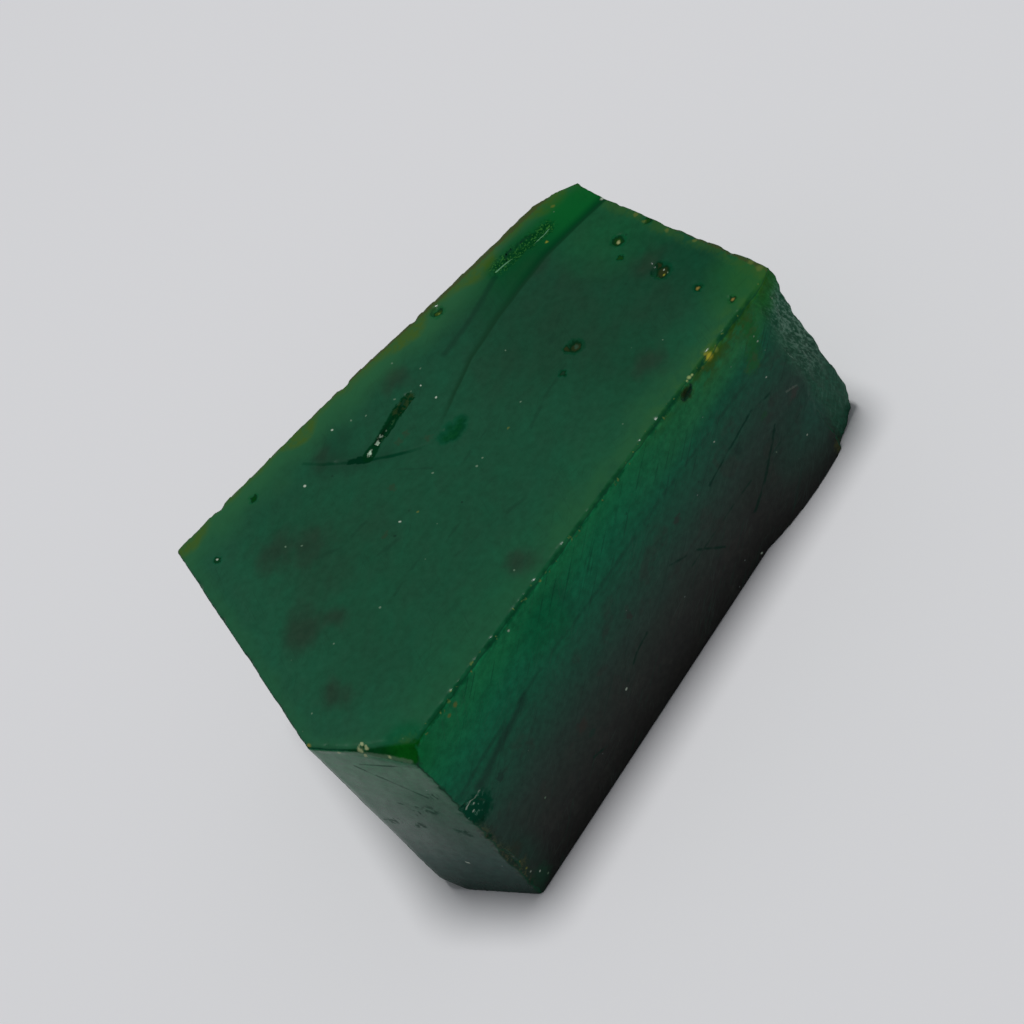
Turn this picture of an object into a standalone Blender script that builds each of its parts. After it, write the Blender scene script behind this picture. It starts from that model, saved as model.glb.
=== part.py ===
"""A hand-sized block of sawn green rough, one solid that rests on its flat sawn base.

Frame: the origin is at the middle of the base, +X runs along the long front face towards the broken
end, the front face looks along -Y, and +Z is up. Lengths are in metres, written as millimetres * MM.
"""

import math
import random

import bmesh
import bpy
from mathutils import Matrix, Vector, noise

MM = 0.001

# Driving sizes: how far each upright face lies from the upright axis, and the way it looks.
BLANK_SIZE = 120 * MM
FRONT_DISTANCE = 23.9 * MM
FRONT_AZIMUTH = -90
END_DISTANCE = 43.3 * MM
END_AZIMUTH = -158.3
END_LEAN = 0.75
LEFT_DISTANCE = 34.65 * MM
LEFT_AZIMUTH = 158
BACK_DISTANCE = 21.3 * MM
BACK_AZIMUTH = 81.2

# The top falls towards the broken end and rises a little towards the back.
TOP_HEIGHT = 36.0 * MM
TOP_FALL_ALONG = 0.0836
TOP_RISE_ACROSS = 0.0105

# The upper strip of the front was sawn at a slightly different angle.
STRIP_HEIGHT = 26.3 * MM
STRIP_LEAN = 2.2

# The near corner of the top is cut off by a small facet, given by how far it reaches along each edge.
CORNER_ALONG_END = 9.5 * MM
CORNER_ALONG_FRONT = 2.2 * MM
CORNER_DOWN = 3.4 * MM

# The foot of the left upright edge is broken away.
FOOT_CUT_HEIGHT = 3.3 * MM
FOOT_CUT_LEAN = -16

EDGE_WEAR = 0.55 * MM
WORN_EDGE_DEGREES = 24

# The second saw pass lowers a strip along the back of the top, more and more towards the broken end.
PASS_START = 3 * MM
PASS_END = 46 * MM
PASS_LINE = 4.9 * MM
PASS_LINE_BOW = 2.2 * MM
PASS_TILT = 8
PASS_FIRST_TILT = 0.12
PASS_WIDTH = 26 * MM
PASS_OVERRUN = 1.5 * MM
PASS_LIFT = 0.35 * MM
PASS_LIFT_END = 0.4

# The broken end, as its outline seen from above, and how deep its relief is.
BREAK_OUTLINE = [
    (31.8, -26.4),
    (33.6, -24.2),
    (39.2, -22.8),
    (39.4, -18.5),
    (40.5, 5.2),
    (41.8, 10.9),
    (39.4, 13.3),
    (36.2, 14.9),
    (33, 18.2),
]
# How far the near upright edge of the broken end stands out, as heights and lengths in millimetres.
BREAK_PROFILE = [
    (-5, -0.1),
    (0, -0.1),
    (2.5, 0.5),
    (6, 0.6),
    (11, 0.35),
    (17, 0),
    (24, -0.35),
    (30, 0.5),
    (34, 0.1),
    (50, 0),
]
BREAK_PROFILE_REACH = 5 * MM
BREAK_RELIEF = 1.1 * MM
BREAK_CELL = 1.45 * MM
SWELL_LENGTH = 11 * MM
LEDGES = 5
SPLINTER_WIDTH = 2.2 * MM
SPLINTER_LENGTH = 7 * MM
SPLINTER_DEPTH = 0.22 * MM
UNDERCUT_DEPTH = 0.7 * MM
UNDERCUT_HEIGHT = 5 * MM
CALM_CORNER = 9 * MM
CALM_RIM = 12 * MM

# The back keeps its natural skin.
SKIN_OUTLINE = [(44, 13.4), (38.2, 14.4), (12, 18.75), (-26.8, 24.95), (-34, 26.1)]
SKIN_RELIEF = 0.8 * MM
SKIN_CELL = 2.6 * MM
BROAD_WAVE = 13 * MM
FINE_WAVE = 4.5 * MM

# The foot of the front swells a little beside the broken end.
TOE_MIDDLE = 27.5 * MM
TOE_WIDTH = 11.5 * MM
TOE_HEIGHT = 15 * MM
TOE_BULGE = 1.35 * MM
TOE_SUNK = 0.1 * MM

# Marks: a pit as its place along and across the top and its radius, in millimetres.
PITS = [
    (35.6, -1.1, 0.75),
    (34.1, -2.6, 0.45),
    (33.7, -9.5, 1.1),
    (33.3, -15.8, 0.6),
    (33.8, -21.1, 0.45),
    (19.7, -6.1, 0.9),
    (-16.5, 20.4, 0.6),
    (-25.9, 18.6, 0.5),
]
# The egg that cuts a shallow pit has its middle this far above the top.
SHALLOW = Vector((0, 0, 0.3)) * MM
# The egg that cuts the broken corner of the front has its middle this far in front of it.
SHALLOW_FRONT = Vector((0, -0.5, 0)) * MM
# Marks on the second saw pass start lower, because the pass took the top away there.
LOWERED_SCAR = Vector((0, 0, -0.55)) * MM
LOWERED_PIT = Vector((0, 0, -0.45)) * MM
LOWERED_RIM = Vector((0, 0, -1.2)) * MM

# Chips along the edges: the seed of their draw and the least and most radius, in millimetres.
CHIP_SEED = 23
CHIP_LEAST = 0.3
CHIP_MOST = 0.7

# The cutters that rough out a side run past the block below, above and outside.
CUTTER_REACH = 24 * MM
CUTTER_START = -3 * MM
CUTTER_HEIGHT = 46 * MM


def direction(azimuth, lean=0.0):
    """The unit vector that looks along an azimuth, raised by lean degrees."""
    turn = math.radians(azimuth)
    rise = math.radians(lean)
    return Vector((math.cos(turn) * math.cos(rise), math.sin(turn) * math.cos(rise), math.sin(rise)))


def upright(azimuth, distance, lean=0.0):
    """A plane that stands on the base, as a point of its foot and the way it looks."""
    return direction(azimuth) * distance, direction(azimuth, lean)


def meet(*planes):
    """The corner where three planes meet."""
    rows = Matrix([normal for _, normal in planes])
    return rows.inverted() @ Vector([normal.dot(point) for point, normal in planes])


def top_height(x, y):
    return TOP_HEIGHT - TOP_FALL_ALONG * x + TOP_RISE_ACROSS * y


FRONT = upright(FRONT_AZIMUTH, FRONT_DISTANCE)
END = upright(END_AZIMUTH, END_DISTANCE, END_LEAN)
LEFT = upright(LEFT_AZIMUTH, LEFT_DISTANCE)
BACK = upright(BACK_AZIMUTH, BACK_DISTANCE)
BASE = (Vector((0, 0, 0)), Vector((0, 0, -1)))
TOP = (Vector((0, 0, TOP_HEIGHT)), Vector((TOP_FALL_ALONG, -TOP_RISE_ACROSS, 1)).normalized())
STRIP = (Vector((0, -FRONT_DISTANCE, STRIP_HEIGHT)), direction(FRONT_AZIMUTH, STRIP_LEAN))


def on_top(x, y):
    """A point of the top face, from millimetres along and across."""
    return Vector((x * MM, y * MM, top_height(x * MM, y * MM)))


def on_front(x, z):
    """A point of the front face or of its upper strip, from millimetres along and up."""
    back = max(0.0, z * MM - STRIP_HEIGHT) * math.tan(math.radians(STRIP_LEAN))
    return Vector((x * MM, back - FRONT_DISTANCE, z * MM))


def new_object(name, mesh_in):
    """An object that holds the shape of a bmesh."""
    mesh = bpy.data.meshes.new(name)
    mesh_in.to_mesh(mesh)
    mesh_in.free()
    piece = bpy.data.objects.new(name, mesh)
    bpy.context.scene.collection.objects.link(piece)
    return piece


def saw(blank, point, normal):
    """Saws a blank along a plane and keeps the side that the normal points away from."""
    every = blank.verts[:] + blank.edges[:] + blank.faces[:]
    bmesh.ops.bisect_plane(blank, geom=every, plane_co=point, plane_no=normal, clear_outer=True)
    rim = [edge for edge in blank.edges if edge.is_boundary]
    bmesh.ops.contextual_create(blank, geom=rim)


def wear_edges(blank):
    """Rounds every edge where two faces turn sharply, as handling does, but not those of the base."""
    turning = math.radians(WORN_EDGE_DEGREES)
    worn = [
        edge
        for edge in blank.edges
        if edge.calc_face_angle(0) > turning and max(vert.co.z for vert in edge.verts) > EDGE_WEAR
    ]
    bmesh.ops.bevel(blank, geom=worn, offset=EDGE_WEAR, segments=2, profile=0.5, affect="EDGES")


def sawn_block():
    """The block with its flat faces, its small corner facet and its worn edges."""
    blank = bmesh.new()
    bmesh.ops.create_cube(blank, size=BLANK_SIZE)
    for point, normal in (BASE, TOP, FRONT, STRIP, END, LEFT, BACK):
        saw(blank, point, normal)
    near = meet(TOP, END, STRIP)
    along_end = (meet(TOP, END, LEFT) - near).normalized() * CORNER_ALONG_END
    down = Vector((0, 0, -CORNER_DOWN))
    along_front = Vector((1, 0, -TOP_FALL_ALONG)) * CORNER_ALONG_FRONT
    facet = (along_front - down).cross(along_end - down).normalized()
    saw(blank, near + down, facet if facet.z > 0 else -facet)
    foot = meet(BASE, END, LEFT) + Vector((0, 0, FOOT_CUT_HEIGHT))
    saw(blank, foot, direction(180, FOOT_CUT_LEAN))
    wear_edges(blank)
    return new_object("stone", blank)


def grid_solid(name, columns, rows, front, back):
    """A closed solid between two grids of points, given as functions of column and row numbers."""
    solid = bmesh.new()
    sides = [
        [[solid.verts.new(place(i, j)) for j in range(rows + 1)] for i in range(columns + 1)]
        for place in (front, back)
    ]
    for i in range(columns):
        for j in range(rows):
            for grid in sides:
                solid.faces.new((grid[i][j], grid[i + 1][j], grid[i + 1][j + 1], grid[i][j + 1]))
    rim = [(i, 0) for i in range(columns)] + [(columns, j) for j in range(rows)]
    rim += [(i, rows) for i in range(columns, 0, -1)] + [(0, j) for j in range(rows, 0, -1)]
    for (i, j), (k, m) in zip(rim, rim[1:] + rim[:1]):
        solid.faces.new((sides[0][i][j], sides[0][k][m], sides[1][k][m], sides[1][i][j]))
    bmesh.ops.recalc_face_normals(solid, faces=solid.faces[:])
    return new_object(name, solid)


def walk(outline, cell):
    """Points about one cell apart along an outline in millimetres, and the way each looks out."""
    corners = [Vector((x, y, 0)) * MM for x, y in outline]
    places = []
    ways = []
    for start, end in zip(corners, corners[1:]):
        steps = max(1, round((end - start).length / cell))
        for step in range(steps):
            places.append(start.lerp(end, step / steps))
            ways.append((end - start).normalized())
    places.append(corners[-1])
    ways.append(ways[-1])
    outward = []
    for i, way in enumerate(ways):
        mean = (way + ways[max(0, i - 1)]).normalized()
        outward.append(Vector((mean.y, -mean.x, 0)))
    return places, outward


def rough_side(name, outline, cell, relief):
    """A cutter whose inner side follows an outline, with the relief of a broken or weathered face."""
    places, outward = walk(outline, cell)
    rows = round(CUTTER_HEIGHT / cell)

    def inner(i, j):
        point = places[i] + Vector((0, 0, CUTTER_START + j * cell))
        return point + outward[i] * relief(point)

    def outer(i, j):
        point = places[i] + Vector((0, 0, CUTTER_START + j * cell))
        return point + outward[i] * CUTTER_REACH

    return grid_solid(name, len(places) - 1, rows, inner, outer)


def profile_at(height):
    """How far the near corner of the broken end stands out at a height, both in millimetres."""
    for (low, first), (high, last) in zip(BREAK_PROFILE, BREAK_PROFILE[1:]):
        if low <= height < high:
            return first + (last - first) * (height - low) / (high - low)
    return 0.0


def fracture(point):
    """How far the broken face stands out at a point: low swells with ledges and upright splinters."""
    swell = noise.noise(point / SWELL_LENGTH)
    ledge = round(swell * LEDGES) / LEDGES
    grain = Vector((point.x / SPLINTER_WIDTH, point.y / SPLINTER_WIDTH, point.z / SPLINTER_LENGTH))
    past_corner = max(0.0, point.y + FRONT_DISTANCE - 2 * MM)
    below_rim = max(0.0, top_height(point.x, point.y) - point.z)
    calm = min(1.0, 0.3 + past_corner / CALM_CORNER) * min(1.0, 0.35 + below_rim / CALM_RIM)
    near_front = max(0.0, 1 - past_corner / BREAK_PROFILE_REACH)
    undercut = UNDERCUT_DEPTH * max(0.0, 1 - point.z / UNDERCUT_HEIGHT) * (1 - near_front)
    band_start = BREAK_OUTLINE[1][0] * MM
    band_end = BREAK_OUTLINE[2][0] * MM
    across_band = min(1.0, max(0.0, (point.x - band_start) / (band_end - band_start)))
    corner = near_front * across_band * profile_at(point.z / MM) * MM
    relief = BREAK_RELIEF * calm * (0.45 * swell + 0.75 * ledge)
    return relief + corner + SPLINTER_DEPTH * noise.noise(grain) - undercut


def weathered(point):
    """How far the natural skin stands out at a point."""
    broad = noise.noise(point / BROAD_WAVE + Vector((7, 0, 0)))
    fine = noise.noise(point / FINE_WAVE + Vector((0, 9, 0)))
    below_rim = max(0.0, top_height(point.x, point.y) - point.z)
    calm = min(1.0, 0.15 + below_rim / CALM_RIM)
    return SKIN_RELIEF * calm * (0.8 * broad + 0.5 * fine)


def second_pass():
    """A cutter for the strip that the second saw pass lowered along the back of the top."""
    columns = 22
    rows = 5

    def place(i, j):
        along = i / columns
        x = PASS_START + (PASS_END - PASS_START) * along
        line = PASS_LINE + PASS_LINE_BOW * math.sin(math.pi * along)
        across = PASS_WIDTH * j / rows - PASS_OVERRUN
        tilt = math.radians(PASS_TILT) * min(1.0, PASS_FIRST_TILT + along)
        lift = PASS_LIFT * max(0.0, 1 - along / PASS_LIFT_END)
        height = top_height(x, line + across) - math.tan(tilt) * across + lift
        return Vector((x, line + across, height))

    def lid(i, j):
        point = place(i, j)
        return Vector((point.x, point.y, top_height(point.x, point.y) + 4 * MM))

    return grid_solid("second_pass", columns, rows, place, lid)


def toe():
    """The low swelling where the foot of the front runs out beside the broken end."""
    columns = 9
    rows = 6

    def place(i, j):
        x = TOE_MIDDLE + TOE_WIDTH * (2 * i / columns - 1)
        z = TOE_HEIGHT * j / rows
        across = (x - TOE_MIDDLE) / TOE_WIDTH
        swell = TOE_BULGE * max(0.0, 1 - across**2) * (1 - (j / rows) ** 1.5)
        return Vector((x, -FRONT_DISTANCE - swell + TOE_SUNK, z))

    def inside(i, j):
        point = place(i, j)
        return Vector((point.x, 0.5 * -FRONT_DISTANCE, point.z))

    return grid_solid("toe", columns, rows, place, inside)


def lump(name, centre, radii, turn=0.0, roughness=0.15, detail=2):
    """A rough egg that takes a chip or a pit out of the block. Its radii are in millimetres."""
    egg = bmesh.new()
    bmesh.ops.create_icosphere(egg, subdivisions=detail, radius=1)
    size = Matrix.Diagonal(Vector(radii) * MM).to_4x4()
    for vert in egg.verts:
        vert.co *= 1 + roughness * noise.noise(vert.co * 1.7 + centre / (3 * MM))
    place = Matrix.Translation(centre) @ Matrix.Rotation(math.radians(turn), 4, "Z") @ size
    egg.transform(place)
    return new_object(name, egg)


def surface_marks():
    """The pits, the gouge and the scars that stand out on the top and the front."""
    marks = [
        lump("gouge", on_top(-0.6, 9.9), (5.0, 0.45, 0.5), turn=4, detail=3),
        lump("gouge_head", on_top(3.4, 10.1), (1.6, 0.6, 0.5), turn=4),
        lump("leaf_scar", on_top(2.6, 1.3) + SHALLOW, (2.3, 1.5, 0.6), turn=-8),
        lump("back_scar", on_top(31, 11.1) + LOWERED_SCAR, (4.2, 1.1, 0.6), turn=-22),
        lump("back_pit", on_top(17.3, 16.1) + LOWERED_PIT, (1.1, 0.9, 0.6)),
        lump("edge_pit", on_front(19.8, 33.1), (1.2, 0.5, 0.9)),
        lump("edge_crust", on_front(25.6, 33.7), (2.2, 0.5, 0.6)),
        lump("end_chip", on_front(-36.0, 22.2) + SHALLOW_FRONT, (2.6, 1.1, 2.9), roughness=0.4),
        lump("end_chip_low", on_front(-36.9, 10.0), (0.7, 0.7, 3.4), roughness=0.4),
    ]
    for number, (x, y, radius) in enumerate(PITS):
        radii = (radius * 1.3, radius * 1.1, radius * 0.8)
        marks.append(lump(f"pit_{number}", on_top(x, y) + SHALLOW, radii, turn=35 * number))
    return marks


def edge_chips():
    """Small chips along the edges, drawn from a seeded run so that they never move."""
    draw = random.Random(CHIP_SEED)
    edges = [
        ("front_top", on_top(-31, -23.6), on_top(36, -23.6), 8),
        ("left_top", meet(TOP, END, LEFT), on_top(-27.2, 24.6), 4),
        ("back_top", on_top(-25, 24.9), on_top(38, 14.9) + LOWERED_RIM, 6),
        ("far_top", on_top(40.5, 5), on_top(39.5, -19), 5),
        ("end_top", meet(TOP, END, LEFT), on_top(-37.5, -20.5), 2),
        ("near_upright", meet(BASE, END, FRONT), on_front(-36.4, 33), 5),
    ]
    chips = []
    for name, start, end, count in edges:
        for number in range(count):
            share = (number + draw.uniform(0.2, 0.8)) / count
            size = draw.uniform(CHIP_LEAST, CHIP_MOST)
            radii = (size * draw.uniform(1.0, 1.9), size * draw.uniform(0.7, 1.1), size * 0.8)
            centre = start.lerp(end, share) + Vector((0, 0, size * 0.35 * MM))
            heading = math.degrees(math.atan2((end - start).y, (end - start).x))
            turn = heading + draw.uniform(-15, 15)
            chips.append(lump(f"{name}_{number}", centre, radii, turn))
    return chips


def stone_material():
    """Dark green translucent stone with a dull sawn finish."""
    material = bpy.data.materials.new("stone")
    material.use_nodes = True
    shader = material.node_tree.nodes["Principled BSDF"]
    shader.inputs["Base Color"].default_value = (0.012, 0.068, 0.032, 1)
    shader.inputs["Roughness"].default_value = 0.34
    shader.inputs["Metallic"].default_value = 0.0
    return material


def boolean(stone, cutters, name, operation):
    """Joins or cuts the stone with every object of a hidden collection."""
    group = bpy.data.collections.new(name)
    for cutter in cutters:
        bpy.context.scene.collection.objects.unlink(cutter)
        group.objects.link(cutter)
        cutter.hide_render = True
        cutter.display_type = "WIRE"
    bpy.context.scene.collection.children.link(group)
    modifier = stone.modifiers.new(name, "BOOLEAN")
    modifier.operand_type = "COLLECTION"
    modifier.collection = group
    modifier.operation = operation
    modifier.solver = "EXACT"


def clear_scene():
    for old in list(bpy.data.objects):
        bpy.data.objects.remove(old)


def main():
    clear_scene()
    stone = sawn_block()
    stone.data.materials.append(stone_material())
    boolean(stone, [toe()], "swelling", "UNION")
    sides = [
        rough_side("broken_end", BREAK_OUTLINE, BREAK_CELL, fracture),
        rough_side("natural_skin", SKIN_OUTLINE, SKIN_CELL, weathered),
        second_pass(),
    ]
    boolean(stone, sides, "faces", "DIFFERENCE")
    boolean(stone, surface_marks() + edge_chips(), "marks", "DIFFERENCE")


main()
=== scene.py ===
# %% [markdown]
# # A block of raw green stone, sawn, chipped and left unpolished
# The object is one heavy piece of green rough. A saw cut its flat faces, a hammer broke one end, and the
# back keeps its natural skin. We start from the solid model of the block, which has the true outline, and
# dress it: a fine mesh for the rough and chipped places, and a node material for the clouds, the rims, the
# stains and the scratches.

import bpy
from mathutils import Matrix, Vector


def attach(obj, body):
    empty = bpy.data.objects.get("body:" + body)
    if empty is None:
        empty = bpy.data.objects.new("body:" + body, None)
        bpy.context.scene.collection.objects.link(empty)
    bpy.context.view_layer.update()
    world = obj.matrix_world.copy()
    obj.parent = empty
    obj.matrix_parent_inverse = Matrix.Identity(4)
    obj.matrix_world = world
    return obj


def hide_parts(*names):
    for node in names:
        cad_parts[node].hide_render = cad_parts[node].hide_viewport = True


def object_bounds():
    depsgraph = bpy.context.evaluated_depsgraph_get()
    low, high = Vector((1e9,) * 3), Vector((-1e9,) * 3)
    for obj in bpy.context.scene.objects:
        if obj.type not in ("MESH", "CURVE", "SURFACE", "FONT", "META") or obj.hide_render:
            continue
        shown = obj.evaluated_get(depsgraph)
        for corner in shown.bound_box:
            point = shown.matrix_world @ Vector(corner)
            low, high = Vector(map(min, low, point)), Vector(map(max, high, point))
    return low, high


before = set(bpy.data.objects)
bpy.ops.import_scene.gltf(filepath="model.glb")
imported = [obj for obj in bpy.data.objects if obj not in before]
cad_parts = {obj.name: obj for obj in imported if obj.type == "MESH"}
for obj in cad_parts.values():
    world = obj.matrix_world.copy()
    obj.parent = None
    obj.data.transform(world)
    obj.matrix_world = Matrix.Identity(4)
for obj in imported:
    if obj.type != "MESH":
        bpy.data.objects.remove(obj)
cad_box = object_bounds()
print("block:", [round(1000 * (high - low), 1) for low, high in zip(*cad_box)], "mm")

# %% Tools and units
import functools
import math

import bpy
import numpy as np
from mathutils import Matrix, Vector
from mathutils.kdtree import KDTree

MM = 0.001
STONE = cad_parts["stone"]
print("solid:", len(STONE.data.vertices), "points")

# %% [markdown]
# ## The faces of the block
# Rims glow, feet darken and ends are rough, so most of the finish depends on how far a point lies from a
# face. The largest triangle that looks a given way lies on the sawn face there, and the mean of those beside
# it gives the plane. Read from the solid like this, the planes stay true if the block changes. A place on a
# face is found by looking at the solid from outside, because a pit or the second saw pass lies lower.

# %% The triangles of the solid
def mesh_arrays(mesh):
    """A mesh's points in millimetres and its triangles."""
    mesh.calc_loop_triangles()
    points = np.empty(len(mesh.vertices) * 3, np.float32)
    mesh.vertices.foreach_get("co", points)
    triangles = np.empty(len(mesh.loop_triangles) * 3, np.int32)
    mesh.loop_triangles.foreach_get("vertices", triangles)
    return points.reshape(-1, 3).astype(float) / MM, triangles.reshape(-1, 3)


solid_points, solid_triangles = mesh_arrays(STONE.data)
corners = solid_points[solid_triangles]
crosses = np.cross(corners[:, 1] - corners[:, 0], corners[:, 2] - corners[:, 0])
areas = np.linalg.norm(crosses, axis=1)
normals = crosses / np.maximum(areas, 1e-9)[:, None]
middles = corners.mean(axis=1)
print("triangles of the solid:", len(areas))

# %% Read the planes of the sawn and broken faces
def looking(azimuth, lean=0.0):
    """The unit vector that looks along an azimuth, raised by lean degrees."""
    turn, lift = math.radians(azimuth), math.radians(lean)
    return np.array([math.cos(turn) * math.cos(lift), math.sin(turn) * math.cos(lift), math.sin(lift)])


def face_plane(way, search, spread):
    """The mean plane of one face, as its normal and its distance from the origin in millimetres.

    Its largest triangle looks within search degrees of way, the others within spread degrees of that one.
    """
    near_way = normals @ way > math.cos(math.radians(search))
    largest = normals[np.argmax(np.where(near_way, areas, 0))]
    own = (normals @ largest > math.cos(math.radians(spread))) & near_way
    normal = crosses[own].sum(axis=0)
    normal /= np.linalg.norm(normal)
    return normal, float(((middles[own] @ normal) * areas[own]).sum() / areas[own].sum())


PLANES = {
    "top": face_plane(looking(0, 90), 7, 0.3),
    "front": face_plane(looking(-90), 1, 0.3),
    "strip": face_plane(looking(-90, 2.2), 0.8, 0.3),
    "end": face_plane(looking(-158, 1), 4, 0.3),
    "left": face_plane(looking(158), 4, 0.3),
    "back": face_plane(looking(81), 35, 35),
    "far": face_plane(looking(-3), 25, 25),
}
for name, (normal, distance) in PLANES.items():
    print(f"{name}: looks {np.round(normal, 3)}, {distance:.2f} mm out")

# %% Places on the faces
def on_solid(point, way):
    """Where the solid's surface really lies, seen along a way past a point of a plane."""
    start = point - 6 * np.array(way)
    hit, found, _, _ = STONE.ray_cast(Vector(start) * MM, Vector(way), distance=12 * MM)
    return np.array(found) / MM if hit else point


def top_point(x, y):
    """The point of the top above a place given in millimetres."""
    normal, distance = PLANES["top"]
    return on_solid(np.array([x, y, (distance - normal[0] * x - normal[1] * y) / normal[2]]), (0, 0, -1))


def front_point(x, z):
    """The point of the front at a place given in millimetres."""
    places = [(plane[1] - plane[0][2] * z) / plane[0][1] for plane in (PLANES["front"], PLANES["strip"])]
    return on_solid(np.array([x, max(places), z]), (0, 1, 0))


print("the top above the middle of the base:", np.round(top_point(0, 0), 2))

# %% [markdown]
# ## Noise for shaping
# Stone is never quite flat. A lattice of seeded random heights, blended smoothly between its corners, gives
# the swells and grain that we push the surface by. Arrays do it for every point at once, and the fixed seeds
# give the same stone every time.

# %% Smooth seeded noise
def lattice(cells, seed):
    """A random height between -1 and 1 for every corner of a lattice."""
    mixed = cells[..., 0] * 374761393 + cells[..., 1] * 668265263 + cells[..., 2] * 1442695041 + seed * 97531
    mixed = (mixed ^ (mixed >> 13)) * 1274126177
    return ((mixed ^ (mixed >> 16)) & 0xFFFF) / 32767.5 - 1


def swell(points, size, seed):
    """Smooth noise over points in millimetres. size is one length, or one for each axis."""
    scaled = points / np.asarray(size, float)
    corner = np.floor(scaled).astype(np.int64)
    part = scaled - corner
    ease = part * part * (3 - 2 * part)
    total = np.zeros(len(points))
    for step in np.ndindex(2, 2, 2):
        share = np.prod(np.where(step, ease, 1 - ease), axis=1)
        total += share * lattice(corner + np.array(step), seed)
    return total


def rise(value, start, end):
    """Goes smoothly from 0 at start to 1 at end."""
    part = np.clip((value - start) / (end - start), 0, 1)
    return part * part * (3 - 2 * part)


print("a swell at three places:", np.round(swell(np.eye(3), 2.0, 1), 2))


# %% [markdown]
# ## A fine skin over the solid
# The solid has long thin triangles, which can't carry grain. A voxel remesh lays an even net over a copy of
# it, and a shrinkwrap pulls that net back onto the solid, so that the sawn faces stay flat.

# %% Remesh a copy and wrap it back
VOXEL = 0.29 * MM
TRIANGLES = 190_000


def applied(piece):
    """Bakes a piece's modifiers into its mesh."""
    graph = bpy.context.evaluated_depsgraph_get()
    mesh = bpy.data.meshes.new_from_object(piece.evaluated_get(graph))
    piece.modifiers.clear()
    old, piece.data = piece.data, mesh
    bpy.data.meshes.remove(old)


block = bpy.data.objects.new("stone_block", STONE.data.copy())
bpy.context.scene.collection.objects.link(block)
remesh = block.modifiers.new("even_net", "REMESH")
remesh.mode = "VOXEL"
remesh.voxel_size = VOXEL
wrap = block.modifiers.new("back_onto_the_solid", "SHRINKWRAP")
wrap.wrap_method = "NEAREST_SURFACEPOINT"
wrap.target = STONE
applied(block)
print("fine net:", len(block.data.vertices), "points")

# %% [markdown]
# ## Where the edges are
# Handling and chipping work on edges, so every point needs its distance to the nearest one. An edge counts
# where its two faces turn by more than 24 degrees. Points strung along those edges go into a search tree.

# %% Measure the distance to the nearest edge
EDGE_TURN = 24
EDGE_STEP = 0.25


def sharp_edge_points():
    """Points strung along the solid's sharp edges."""
    shared = {}
    welded = np.unique(np.round(solid_points, 3), axis=0, return_inverse=True)
    places, index = welded[0], welded[1].reshape(-1)
    for number, triangle in enumerate(index[solid_triangles]):
        for start, end in zip(triangle, np.roll(triangle, -1)):
            shared.setdefault((min(start, end), max(start, end)), []).append(number)
    strung = []
    for (start, end), sides in shared.items():
        if len(sides) != 2 or min(areas[sides]) < 1e-6:
            continue
        if normals[sides[0]] @ normals[sides[1]] > math.cos(math.radians(EDGE_TURN)):
            continue
        length = np.linalg.norm(places[end] - places[start])
        for part in np.linspace(0, 1, int(length / EDGE_STEP) + 2):
            strung.append(places[start] + part * (places[end] - places[start]))
    return strung


edge_points = sharp_edge_points()
tree = KDTree(len(edge_points))
for number, point in enumerate(edge_points):
    tree.insert(point, number)
tree.balance()
points, _ = mesh_arrays(block.data)
edge_distance = np.array([tree.find(point)[2] for point in points])
print("edge points:", len(edge_points), " near an edge:", int((edge_distance < 1).sum()), "of", len(points))

# %% [markdown]
# ## Strokes and spots
# Cracks and scratches are easiest to say as strokes: a few places in millimetres, joined by straight runs.
# The rough places are ovals. One helper gives the distance of every point to a stroke, the other how far it
# lies inside an oval.

# %% Distances to strokes and ovals
def stroke_distance(points, path):
    """The distance of every point to a line through a few places."""
    nearest = np.full(len(points), np.inf)
    for start, end in zip(path, path[1:]):
        run = end - start
        part = np.clip((points - start) @ run / (run @ run), 0, 1)
        nearest = np.minimum(nearest, np.linalg.norm(points - start - part[:, None] * run, axis=1))
    return nearest


def oval(points, centre, long, short, turn, core=0.6):
    """0 outside a flat oval on the top, rising to 1 at its core. turn is in degrees."""
    angle = math.radians(turn)
    away = points - centre
    along = away[:, 0] * math.cos(angle) + away[:, 1] * math.sin(angle)
    across = away[:, 1] * math.cos(angle) - away[:, 0] * math.sin(angle)
    return rise(np.sqrt((along / long) ** 2 + (across / short) ** 2 + (away[:, 2] / 2) ** 2), 1, core)


# The feather crack runs across the top past the gouge, and opens into a dark lens halfway.
FEATHER_CRACK = [(-9.4, 17.2), (-8.4, 14.6), (-7, 12), (-5.5, 9.2), (-3.8, 6.8), (-1.9, 4.4), (0, 2.6)]
CRACK_LENS = [(-7.5, 13), (-6.7, 11.5), (-6, 10.4), (-5.4, 9.3)]
LENS_WIDTHS = [0.22, 0.45, 0.6]
print("the crack has", len(FEATHER_CRACK) - 1, "runs")

# %% [markdown]
# ## Shaping the stone
# The sawn faces get the slow waviness that a saw blade leaves. Edges are nibbled. The broken end and the band
# beside it on the front are splintered along the upright, the back has its pitted skin, and the crack and the
# scars on the top are opened. Each kind of damage is worked out by itself, as the way that every point moves
# along its normal, and they are simply added up.

# %% Saw marks and nibbled edges
SAW_WAVE = 0.03
FINE_WAVE = 0.012
NIBBLE_DEPTH = 0.24
NIBBLE_REACH = 0.6

ways = np.empty(len(points) * 3, np.float32)
block.data.vertices.foreach_get("normal", ways)
ways = ways.reshape(-1, 3).astype(float)


def depth_inside(name):
    """How far every point lies inside one face's plane."""
    normal, distance = PLANES[name]
    return distance - points @ normal


def looks_like(name, start, end):
    """1 on the points that look the way one face does, 0 on the others."""
    return rise(ways @ PLANES[name][0], start, end)


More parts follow.
